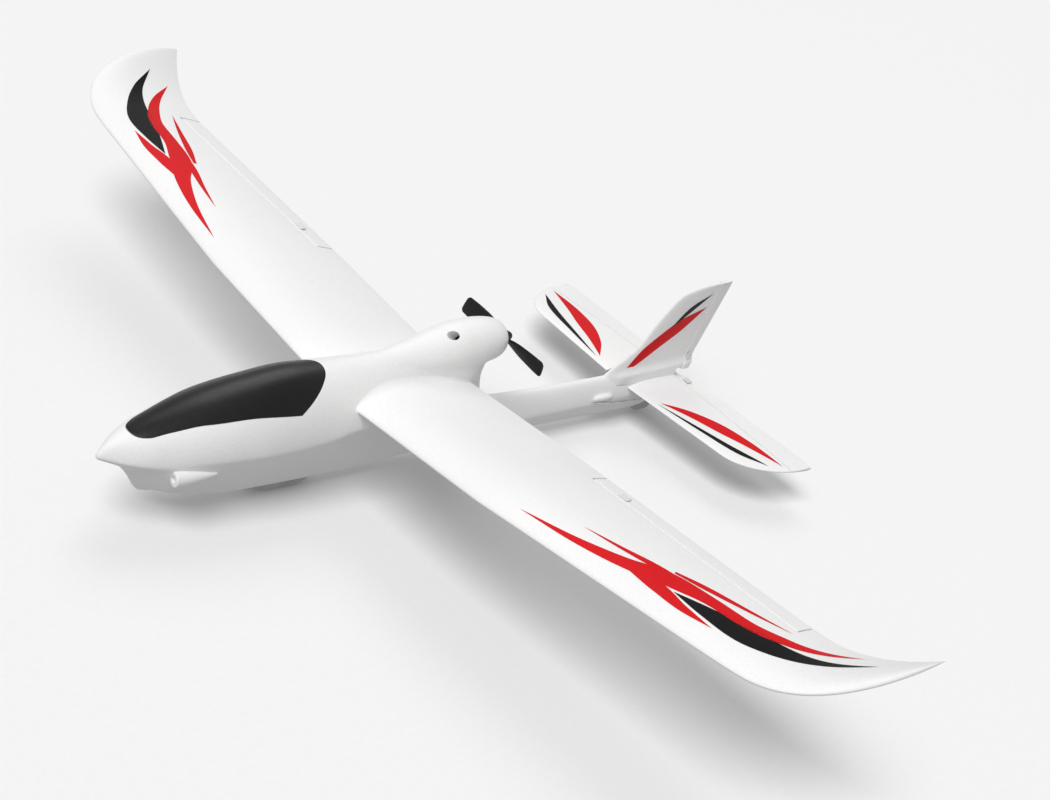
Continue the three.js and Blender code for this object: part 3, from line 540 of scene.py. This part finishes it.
# ---- Fuselage ----
def tail_skin(name, margin=0.0, flared=True):
    section = foil_ring(TAIL_THICKNESS, 0)

    def ring(x):
        leading, trailing = tail_edges(x)
        chord = trailing - leading
        thick = max(chord, 30)
        flare = 1.6 * max(0.0, 1 - max(abs(x) - 5.5, 0) / 6) ** 3 if flared else 0.0
        rows = []
        for u, v in section:
            spread_out = (margin + flare * 4 * u * (1 - u)) * np.sign(v) * min(1, 9 * u)
            y = leading + u * chord + 2 * margin * (u - 0.5)
            rows.append((x, y, TAIL_HEIGHT + v * thick + spread_out))
        return rows

    half = [0, 2, 4, 6, 7, 8, 9, 10, 11.5, 13, 16, 22, 30, 40, 50, 60, 70, 80]
    rounded = TAIL_HALF_SPAN - TAIL_ROUNDED_FROM
    half += [TAIL_ROUNDED_FROM + rounded * math.sin(math.pi / 2 * i / 22) for i in range(1, 23)]
    places = [-x for x in half[:0:-1]] + half
    return loft(name, [ring(x) for x in places])


def hatch_outline(margin):
    """The canopy's outline in the side view, grown by a margin downwards and to both ends."""
    front, rear, above = 13, 95.5, 40
    lower = through(
        (front, -5.3), (14, -5.75), (15.5, -6), (20, -5.4), (24, -4.2), (29, -2.7), (46, 1.4), (74, 4),
        (rear, 3.6),
    )
    points = [(front - margin, above)]
    points += [(y + margin * (y - 55) / 42, float(lower(y)) - margin) for y in np.linspace(front, rear, 60)]
    a, b, c = np.array([113, 14.4 - margin / 2]), np.array([122, 19]), np.array([122, 27])
    for t in (0.03, 0.5, 1):
        points.append((lerp(rear + margin, a[0] + margin, t), lerp(3.6 - margin, a[1], t)))
    for t in np.linspace(0.1, 1, 10):
        y, z = (1 - t) ** 2 * a + 2 * t * (1 - t) * b + t * t * c
        points.append((y + margin, z))
    points.append((c[0] + margin, above))
    return points


def oval_rings(stations, width, height, centre):
    """Rings of an oval tube along the fuselage; each size is a function of the station."""
    angle = np.linspace(0, 2 * math.pi, 72, endpoint=False)
    across, level = np.cos(angle), np.sin(angle)
    return [
        np.column_stack(
            [float(width(s)) * across, np.full(72, s), float(centre(s)) + float(height(s)) * level]
        )
        for s in stations
    ]


def fuselage_stations():
    nose = 24 * np.linspace(0, 1, 14) ** 1.8
    cabin, neck, boom = np.arange(26, 228, 2.4), np.arange(228, 256, 1.2), np.arange(257, 392, 4)
    return np.concatenate([nose, cabin, neck, boom, np.linspace(393, FUSELAGE_END, 16)])


def boom_fairing(place):
    """An oval blister, 18 mm long, on the side of the tail boom."""
    profile = [(9 * math.sin(a), math.cos(a)) for a in np.linspace(-1.5, 1.5, 19)]
    fairing = turned("fairing", profile, (0, 0, 0), (0, 1, 0))
    fairing.data.transform(Matrix.Translation(Vector(ORIGIN * MM)))
    fairing.data.transform(Matrix.Diagonal((1.5, 1, 2.2, 1)))
    fairing.data.transform(Matrix.Translation(Vector((np.array(place) - ORIGIN) * MM)))
    return fairing


def soften_neck(skin):
    """Smooths the skin most where the pod's pylon meets the cabin roof, and lightly everywhere."""
    neck = skin.vertex_groups.new(name="neck")
    co = np.array([v.co for v in skin.data.vertices]) / MM + ORIGIN
    near = np.clip((co[:, 1] - 168) / 16, 0, 1) * np.clip((246 - co[:, 1]) / 5, 0, 1)
    near *= np.clip((co[:, 2] + 14) / 10, 0, 1) * np.clip((17 - co[:, 2]) / 8, 0, 1)
    near *= np.clip((np.abs(co[:, 0]) - 0.5) / 3, 0, 1)
    for level in range(1, 11):
        chosen = np.where(np.round(near * 10) == level)[0]
        neck.add(chosen.tolist(), level / 10, "REPLACE")
    change(skin, "SMOOTH", factor=0.6, iterations=60, vertex_group="neck")
    change(skin, "SMOOTH", factor=0.5, iterations=5)
    settle(skin)


def nose_tube_turned(name, profile, side, start, segments):
    """One of the two tubes low on the nose, or its bore."""
    x, y, z = start
    return turned(name, profile, (side * x, y, z), (side * 2.8, 22, 1.4), segments)


def fuselage_skin(stations):
    """Hull, pod and pylon run together into one skin, with the boom's fairings and the nose tubes."""
    hull = loft("hull", hull_rings(0, stations))
    pod_end = 230 + 14 * np.sin(np.linspace(0, math.pi / 2, 18))[1:]
    pod_stations = np.concatenate([np.linspace(150, 230, 40), pod_end])
    pod = loft("pod", oval_rings(pod_stations, POD_RADIUS, POD_RADIUS, POD_HEIGHT))
    pylon_stations = np.linspace(160, 236, 40)
    pylon = loft(
        "pylon", oval_rings(pylon_stations, PYLON_WIDTH, lambda s: PYLON_RISE, lambda s: PYLON_HEIGHT)
    )
    fairings = [boom_fairing(place) for place in ((8, 357, -30), (-8, 353, -28))]
    skin = merged("skin", hull, pod, pylon, *fairings)
    change(skin, "REMESH", mode="VOXEL", voxel_size=0.00085, use_smooth_shade=True)
    settle(skin)
    soften_neck(skin)
    profile = [(-0.1, 3.2), (0, 3.6), (0.4, 3.9), (5, 3.75), (10, 3.1), (16, 2.0), (22, 0.7)]
    tubes = [nose_tube_turned("tube", profile, side, (18.2, 31, -22.8), 56) for side in (1, -1)]
    return combined(skin, "UNION", *tubes)


def fuselage_hollows(stations):
    """What is cut from the skin: cabin, hatch opening, motor bay, ducts, vent, tube bores and tail slot."""
    inner = [s for s in stations if 27 < s < 195]
    bore = [(0, 2.0), (2.2, 1.8), (2.6, 1.6), (8.8, 1.5)]
    return [
        loft("cavity", hull_rings(-SKIN_WALL, [26, *inner, 196])),
        prism("hatch_cut", hatch_outline(0.3), -40, 40, 0),
        turned("bay", [(0, 9.2), (32.6, 9.2)], (0, 207, MOTOR_HEIGHT), (0, 1, 0), 48),
        turned("mouth", [(0, 4.2), (10, 4.2), (14, 4.6)], (0, 236, MOTOR_HEIGHT), (0, 1, 0), 48),
        turned("lead_duct", [(0, 3), (36, 3)], (0, 178, 5), (0, 33, 14.5), 24),
        turned("vent", [(0, 2.7), (24, 2.7), (30, 3)], (3.4, 211, 21), (3, -21, 14.5), 40),
        *[nose_tube_turned("bore", bore, side, (17.9, 28.8, -22.95), 32) for side in (1, -1)],
        turned("boom_duct", [(0, 4.4), (130, 3.2)], (0, 192, -30), (0, 130, -2), 20),
        tail_skin("tail_slot", 0.25, flared=False),
    ]


def build_fuselage():
    stations = fuselage_stations()
    skin = combined(fuselage_skin(stations), "DIFFERENCE", *fuselage_hollows(stations))
    seat = block("seat", (-20, 101, 3.6), (20, 111, 6.6))
    combined(seat, "INTERSECT", loft("seat_room", hull_rings(-SKIN_WALL + 0.6, stations[stations < 200])))
    skin.name, seat.name = "fuselage_shell_moulded", "magnet_seat"
    finish(skin, "airframe", WHITE_FOAM, "white_foam", "fuselage_left_half", "fuselage_right_half")
    finish(seat, "airframe", WHITE_FOAM, "white_foam")


def build_hatch():
    stations = fuselage_stations()
    hatch = loft("canopy_hatch_film", hull_rings(0.02, stations[stations < 150]))
    hollow = loft("hollow", hull_rings(-HATCH_WALL, [18, *[s for s in stations if 19 < s < 116], 117]))
    combined(hatch, "DIFFERENCE", hollow)
    combined(hatch, "INTERSECT", prism("hatch_room", hatch_outline(0), -40, 40, 0))
    finish(hatch, "canopy", HATCH_FILM, "black_hatch", "canopy_hatch")


def skid(name, station, length, top, bottom, flat, width):
    """A runner with a rounded section and ends, worn flat at its lowest level."""
    rings = []
    for turn in np.linspace(-0.5 * math.pi, 0.5 * math.pi, 61):
        along = 0.5 * length * math.sin(turn)
        past = max(abs(along) - flat / 2, 0) / (length / 2 - flat / 2)
        share = math.sqrt(max(1 - past**2, 0.003))
        low, half = lerp(top, bottom, share), 0.5 * width * lerp(0.45, 1, share)
        radius = min(0.2 * width, 0.5 * (top - low))
        side = min(radius, 0.7 * half)
        outline = [(half, top)]
        for a in np.linspace(0, math.pi / 2, 9):
            outline.append((half - side + side * math.cos(a), low + radius - radius * math.sin(a)))
        outline += [(-x, z) for x, z in outline[::-1]]
        rings.append([(x, station + along, z) for x, z in outline])
    return loft(name, rings)


def build_skids():
    for name, *shape in (("belly_skid", 113, 42, -44, -52.4, 14, 14), ("tail_skid", 412, 22, -40, -50, 8, 5)):
        # Both skids take the mid grey of painted shade, not their own white.
        finish(skid(name + "_moulded", *shape), "airframe", SKID_GREY_PAINTED_SHADE, "white_plastic", name)


# ---- Wing ----
def wing_root_rings(section, radius=5.0, steps=7):
    """Rings that sweep from the fuselage's side out on to the wing in a hollow curve."""
    meet, lift = [], []
    for u, v in section:
        x = 20.0
        for _ in range(14):
            p = wing_point(x, u, v)
            x = lerp(x, body_half_width(p[1], p[2]), 0.7)
        meet.append(x)
    meet = np.array(meet)
    flow = [wing_point(20, u, v)[1:] for u, v in section]
    normals = []
    for i in range(len(section)):
        ahead, behind = flow[min(i + 1, len(flow) - 1)], flow[max(i - 1, 0)]
        way = ahead - behind
        normal = np.array([way[1], -way[0]])
        normals.append(normal / (np.linalg.norm(normal) + 1e-9))
    middle = np.mean(flow, axis=0)
    rings = []
    for step in range(steps + 1):
        t = step / steps
        ring = []
        for (u, v), x, normal, place in zip(section, meet, normals, flow):
            out = normal if np.dot(normal, place - middle) > 0 else -normal
            reach = radius * min(1.0, 0.35 + 3 * u, 0.3 + 4 * (1 - u))
            corner = wing_point(x, u, v)
            wing_side = wing_point(x + reach, u, v)
            y, z = corner[1] + out[0] * reach * 0.8, corner[2] + out[1] * reach * 0.8
            body_side = np.array([body_half_width(y, z) - 0.35, y, z])
            ring.append((1 - t) ** 2 * body_side + 2 * t * (1 - t) * corner + t * t * wing_side)
        rings.append(np.array(ring))
    return rings


def aileron_hinge(x):
    share = (x - AILERON["inner"]) / (AILERON["outer"] - AILERON["inner"])
    return lerp(AILERON["inner_hinge"], AILERON["outer_hinge"], share)


def aileron_room(name, gap, groove):
    """The space aft of the aileron's hinge line; groove sets its top and bottom edges back."""
    rings = []
    for x in (AILERON["inner"] - gap, AILERON["outer"] + gap):
        line = aileron_hinge(min(max(x, AILERON["inner"]), AILERON["outer"])) - gap
        set_back, aft, tilt = line + groove * 4, 250, x * math.tan(DIHEDRAL)
        corners = [(aft, -14), (aft, 16), (set_back, 16), (line, 0.8), (set_back, -14)]
        rings.append([(x, y, z + tilt) for y, z in corners])
    return loft(name, rings)


def build_wing():
    section = foil_ring(WING["thickness"], WING["camber"])
    rings = wing_root_rings(section)
    start = rings[-1]
    settled = 40.0
    for t in (0.15, 0.32, 0.5, 0.68, 0.84, 1):
        ring = [wing_point(lerp(p[0], settled, t), u, v) for p, (u, v) in zip(start, section)]
        rings.append(np.array(ring))
    places = [*np.arange(44, 213, 4.0), *np.arange(213, 262, 2.0)]
    places += [262 + 38 * math.sin(math.pi / 2 * i / 26) for i in range(27)]
    rings += [np.array([wing_point(x, u, v) for u, v in section]) for x in places]
    wing = loft("wing", rings)
    flap_places = [*np.arange(90, 213, 4.0), *np.arange(213, 268, 2.0)]
    aileron = loft("aileron", [[wing_point(x, u, v) for u, v in section] for x in flap_places])
    combined(aileron, "INTERSECT", aileron_room("aileron_inside", 0, 2.0))
    combined(wing, "DIFFERENCE", aileron_room("aileron_outside", HINGE_GAP, 0))
    pocket = block("pocket", (111.7, 147.2, -4.6), (134.5, 172.6, 4.7))
    shift = Matrix.Translation(Vector(-ORIGIN * MM))
    pocket.data.transform(shift @ Matrix.Rotation(-DIHEDRAL, 4, "Y") @ shift.inverted())
    combined(wing, "DIFFERENCE", pocket)
    for name, sign in (("left", 1), ("right", -1)):
        turn_out = copy_of if sign > 0 else mirrored
        panel = turn_out(wing, f"wing_{name}_moulded")
        flap = turn_out(aileron, f"aileron_{name}_moulded")
        finish(panel, "airframe", WHITE_FOAM, "white_foam", f"wing_{name}")
        finish(flap, f"aileron_{name}", WHITE_FOAM, "white_foam", f"aileron_{name}")
    bpy.data.objects.remove(wing)
    bpy.data.objects.remove(aileron)


# ---- Tail ----
def elevator_line(x):
    return lerp(432, 426, min(max((abs(x) - 44) / 63, 0), 1))


def elevator_room(name, gap):
    low, high = TAIL_HEIGHT - 12, TAIL_HEIGHT + 12
    line = [(x, elevator_line(x) - gap) for x in (-115, -44, 44, 115)]
    return prism(name, [*line, (115, 460), (-115, 460)], low, high, 2)


def rudder_room(name, gap, bevel=0.0):
    """The space aft of the rudder's hinge line; bevel slopes its leading edge back to both sides."""
    rings = []
    for z in (-21.5 - gap, 50):
        line = rudder_hinge(z) - gap
        side, aft = line + 10 * bevel, 470
        rings.append([(0, line, z), (10, side, z), (10, aft, z), (-10, aft, z), (-10, side, z)])
    return loft(name, rings)


def fin_skin(name):
    levels = [-24.4, -22.5, *range(-21, -11), -10, -8, *range(-4, 25, 4), 27, 30, 32, 34]
    levels += [35.5, 37, 38.4, 39.4, 40.2, 40.8, 41.2, 41.4]
    rings = []
    for z in levels:
        leading, chord, thickness = fin_section(z)
        section = foil_ring(thickness, 0)
        ring = []
        for u, v in section:
            y = leading + u * chord
            flare = 2.6 * max(0.0, 1 - max(z - float(HULL_TOP(y)), 0) / 7) ** 3
            ring.append((v * chord + np.sign(v) * flare * min(1, 6 * u), y, z))
        rings.append(ring)
    return loft(name, rings)


def build_tail():
    elevator = tail_skin("elevator_moulded", flared=False)
    outline = [(-3, 438.5), (3, 438.5), (12, 450), (12, 456), (-12, 456), (-12, 450)]
    notch = prism("notch", outline, -40, -10, 2)
    combined(elevator, "INTERSECT", elevator_room("elevator_inside", 0))
    combined(elevator, "DIFFERENCE", notch)
    tail = tail_skin("tailplane_moulded")
    combined(tail, "DIFFERENCE", elevator_room("elevator_outside", HINGE_GAP))
    rudder = combined(fin_skin("rudder_moulded"), "INTERSECT", rudder_room("rudder_inside", 0, 0.55))
    below = block("below_rudder", (-10, 430, -40), (10, 470, -19.4))
    fin = combined(fin_skin("fin_moulded"), "DIFFERENCE", rudder_room("rudder_outside", HINGE_GAP), below)
    finish(elevator, "elevator", WHITE_FOAM, "white_foam", "elevator")
    finish(tail, "airframe", WHITE_FOAM, "white_foam", "tailplane")
    finish(rudder, "rudder", WHITE_FOAM, "white_foam", "rudder")
    finish(fin, "airframe", WHITE_FOAM, "white_foam", "fin")


# ---- Printed swooshes ----
INK_LIFT = 0.12


def swoosh(name, points, widths, lay, material, slot="white_foam", rows=64, columns=7):
    """A tapered stroke along a smooth line. lay(a, b) puts a point of the stroke on the surface."""
    places = np.linspace(0, 1, len(points))
    line = [through(*zip(places, [p[k] for p in points])) for k in (0, 1)]
    breadth = through(*zip(np.linspace(0, 1, len(widths)), widths))
    t = np.linspace(0, 1, rows)
    centre = np.column_stack([line[0](t), line[1](t)])
    way = np.gradient(centre, axis=0)
    normal = np.column_stack([-way[:, 1], way[:, 0]]) / np.linalg.norm(way, axis=1)[:, None]
    grid = []
    for middle, out, width in zip(centre, normal, breadth(t)):
        across = np.linspace(-0.5, 0.5, columns)[:, None] * max(float(width), 0.02)
        grid.append([lay(a, b) for a, b in middle + across * out])
    return finish(sheet(name, grid), "airframe", material, slot)


WING_STROKES = {
    "wing_swoosh_main": (
        [(123.5, 140), (152, 145.5), (176, 153.5), (196, 164.5), (215, 170), (234, 172.5), (250, 180.5),
         (263, 191), (275.5, 206)],
        [0, 4.2, 8.6, 13, 9.2, 8.4, 7, 4.4, 0], RED_INK,
    ),
    "wing_swoosh_fork": ([(148, 157), (168, 161.5), (186, 166.5), (205, 171)], [0, 2.6, 4.6, 2], RED_INK),
    "wing_swoosh_tail": ([(178, 153), (196, 154), (212, 152.6), (228, 153.5)], [3, 8, 5, 0], RED_INK),
    "wing_swoosh_trail": ([(192, 172), (208, 177.8), (228, 184.6), (247, 192)], [2, 4.4, 2.8, 0], RED_INK),
    "wing_crescent": (
        [(202, 158), (219, 160.6), (238, 164.5), (256, 172), (270, 181), (285, 197.4)],
        [0, 9, 15.5, 11, 5.6, 0], BLACK_INK,
    ),
}
TAIL_STROKES = {
    "tail_swoosh": (
        [(27, 389), (44, 402), (61, 411), (79, 417.5), (103.5, 423)], [0, 8.5, 12.5, 9, 0], RED_INK,
    ),
    "tail_streak": ([(27, 386.2), (57, 393.5), (82, 400.5), (100.5, 411.5)], [0, 3.2, 5.2, 0], BLACK_INK),
}
FIN_STROKES = {
    "fin_swoosh": ([(371, -20.5), (391, -3.5), (411, 10.5), (437, 24.5)], [0, 8.5, 10.5, 0], RED_INK),
    "fin_streak": ([(405, 11.5), (419, 24), (437, 34.2)], [0, 4.2, 0], BLACK_INK),
}


def build_decals():
    """Plain tapered strokes in the places of the photo's flame graphics."""
    for side, sign in (("left", 1), ("right", -1)):
        def on_wing(x, y, sign=sign):
            return (sign * x, y, wing_top(x, y) + INK_LIFT)

        def on_tail(x, y, sign=sign):
            return (sign * x, y, TAIL_HEIGHT + tail_half_thickness(x, y) + INK_LIFT)

        def on_fin(y, z, sign=sign):
            return (sign * (fin_half_thickness(y, z) + INK_LIFT), y, z)

        for strokes, lay in ((WING_STROKES, on_wing), (TAIL_STROKES, on_tail), (FIN_STROKES, on_fin)):
            for name, (points, widths, material) in strokes.items():
                swoosh(f"{name}_{side}", points, widths, lay, material)


# ---- Propeller and small fittings ----
def build_propeller():
    radius = 32.5
    chord = through((3, 3.8), (6, 5.2), (10, 8), (15, 9.6), (24, 10), (31, 9.6), (radius, 7.4))

    def blade(name, flip):
        rings = []
        spans = [*np.linspace(2, 30.5, 26), 31.2, 31.8, 32.2, 32.4, radius]
        for x in spans:
            twist = math.radians(lerp(38, 12, x / radius))
            tip = math.sqrt(max(1 - ((x - 30.5) / 2.2) ** 2, 0.02)) if x > 30.5 else 1.0
            ring = []
            for angle in np.linspace(0, 2 * math.pi, 28, endpoint=False):
                across = 0.5 * math.cos(angle)
                swell = 0.5 * math.copysign(abs(math.sin(angle)) ** 0.8, math.sin(angle))
                deep = swell + 0.25 * (0.25 - across**2)
                a, d = across * float(chord(x)) * (0.9 + 0.1 * tip), deep * 1.5 * (0.4 + 0.6 * tip)
                y = d * math.cos(twist) - a * math.sin(twist)
                z = a * math.cos(twist) + d * math.sin(twist)
                ring.append((flip * x, y, flip * z))
            rings.append(ring)
        return loft(name, rings)

    barrel = [(-3.2, 3.3), (-3.0, 3.7), (-2.4, 4), (2.4, 3.5), (3.0, 3.2), (3.2, 2.9)]
    hub = turned("hub", barrel, (0, 0, 0), (0, 1, 0), 56)
    boss = combined(blade("propeller_blades", 1), "UNION", blade("blade", -1), hub)
    combined(boss, "DIFFERENCE", turned("bore", [(-5, 1.2), (5, 1.2)], (0, 0, 0), (0, 1, 0), 32))
    shift = Matrix.Translation(Vector((np.array([0, 247, MOTOR_HEIGHT]) - ORIGIN) * MM))
    turn = Matrix.Rotation(math.radians(2.5), 4, "Y")
    boss.data.transform(shift @ turn @ Matrix.Translation(Vector(ORIGIN * MM)))
    finish(boss, "propeller", BLACK_NYLON, "black_plastic", "propeller")
    dome = [(0, 2.6), (0.9, 2.6), (1.3, 2.45), (2.2, 1.95), (2.9, 1.3), (3.4, 0.3)]
    nut = turned("propeller_spinner_nut", dome, (0, 250.5, MOTOR_HEIGHT), (0, 1, 0), 40)
    finish(nut, "propeller", BLACK_NYLON, "black_plastic", "propeller_nut")


build_fuselage()
build_hatch()
build_skids()
build_wing()
build_tail()
build_decals()
build_propeller()

NODE_FINISH = {
    "white_plastic": WHITE_NYLON, "servo_case": BLUE_CASE, "steel": STEEL, "black_plastic": BLACK_NYLON,
    "carbon": CARBON, "plywood": PLYWOOD, "battery_wrap": WRAP, "circuit_board": BOARD_GREEN,
    "silicone_lead": RED_LEAD, "white_foam": WHITE_FOAM, "black_hatch": HATCH_FILM,
}
OWN_FINISH = {"battery_strap": STRAP, "motor_case": CAN_STEEL}
for part in frame["record"]["subparts"]:
    node = frame["nodes"][part["node"]]
    node.data.materials.clear()
    node.data.materials.append(OWN_FINISH.get(part["node"], NODE_FINISH[part["material_slot"]]))

# ---- Stage, light and camera ----
SKY_LIGHT, SKY_SEEN = 0.36, 0.9
FLOOR_REACH, FLOOR_LEVEL = 30, -0.0003
CAMERA_PLACE = (0.46111, -0.50055, 0.42639)
CAMERA_AZIMUTH, CAMERA_ELEVATION, CAMERA_ROLL = (math.radians(a) for a in (34.198, 26.078, 23.093))
CAMERA_LENS = 54.14

floor_material, add, shade = node_material("pale_floor")
speckle = add("TexNoise", {"Vector": place_node(add), "Scale": 300.0, "Detail": 3.0}).outputs["Fac"]
paper = colour_mix(add, speckle, (0.90, 0.90, 0.90), (0.94, 0.94, 0.94))
shade(Base_Color=paper, Roughness=0.9, Specular_IOR_Level=0.1)
floor_data = bpy.data.meshes.new("floor")
around = ((-1, -1), (1, -1), (1, 1), (-1, 1))
floor_corners = [(x * FLOOR_REACH, y * FLOOR_REACH, FLOOR_LEVEL) for x, y in around]
floor_data.from_pydata(floor_corners, [], [(0, 1, 2, 3)])
floor = bpy.data.objects.new("floor", floor_data)
floor_data.materials.append(floor_material)
bpy.context.scene.collection.objects.link(floor)
floor.visible_diffuse = False  # a lit floor would wash out the shade below the fuselage's crease


def soft_light(name, place, strength, spread_angle):
    """A broad, far light that falls evenly over the whole floor."""
    light = bpy.data.lights.new(name, "SUN")
    light.energy, light.angle = strength, math.radians(spread_angle)
    thing = bpy.data.objects.new(name, light)
    thing.location = place
    thing.rotation_euler = (-Vector(place)).to_track_quat("-Z", "Y").to_euler()
    bpy.context.scene.collection.objects.link(thing)


soft_light("key", (0.9, -3.5, 4.8), 2.0, 34)
soft_light("fill", (-3.0, 2.3, 4.4), 0.5, 34)
world = bpy.data.worlds.new("studio")
world.use_nodes = True
sky = world.node_tree.nodes["Background"]
sky.inputs["Color"].default_value = (1, 1, 1, 1)
rays = world.node_tree.nodes.new("ShaderNodeLightPath")
strength = world.node_tree.nodes.new("ShaderNodeMapRange")
strength.inputs["To Min"].default_value = SKY_LIGHT
strength.inputs["To Max"].default_value = SKY_SEEN
world.node_tree.links.new(rays.outputs["Is Camera Ray"], strength.inputs["Value"])
world.node_tree.links.new(strength.outputs["Result"], sky.inputs["Strength"])
bpy.context.scene.world = world
bpy.context.scene.view_settings.view_transform = "Standard"

camera_data = bpy.data.cameras.new("camera")
camera_data.sensor_width = 36.0
camera_data.lens = CAMERA_LENS
camera_data.clip_end = 60
camera = bpy.data.objects.new("camera", camera_data)
right = Vector((math.cos(CAMERA_AZIMUTH), math.sin(CAMERA_AZIMUTH), 0))
ahead = Vector((-math.sin(CAMERA_AZIMUTH), math.cos(CAMERA_AZIMUTH), 0))
back = Vector((0, 0, math.sin(CAMERA_ELEVATION))) - ahead * math.cos(CAMERA_ELEVATION)
up = back.cross(right)
turned_right = right * math.cos(CAMERA_ROLL) + up * math.sin(CAMERA_ROLL)
turned_up = up * math.cos(CAMERA_ROLL) - right * math.sin(CAMERA_ROLL)
facing = Matrix((turned_right, turned_up, back)).transposed().to_4x4()
camera.matrix_world = Matrix.Translation(CAMERA_PLACE) @ facing
bpy.context.scene.collection.objects.link(camera)
bpy.context.scene.camera = camera
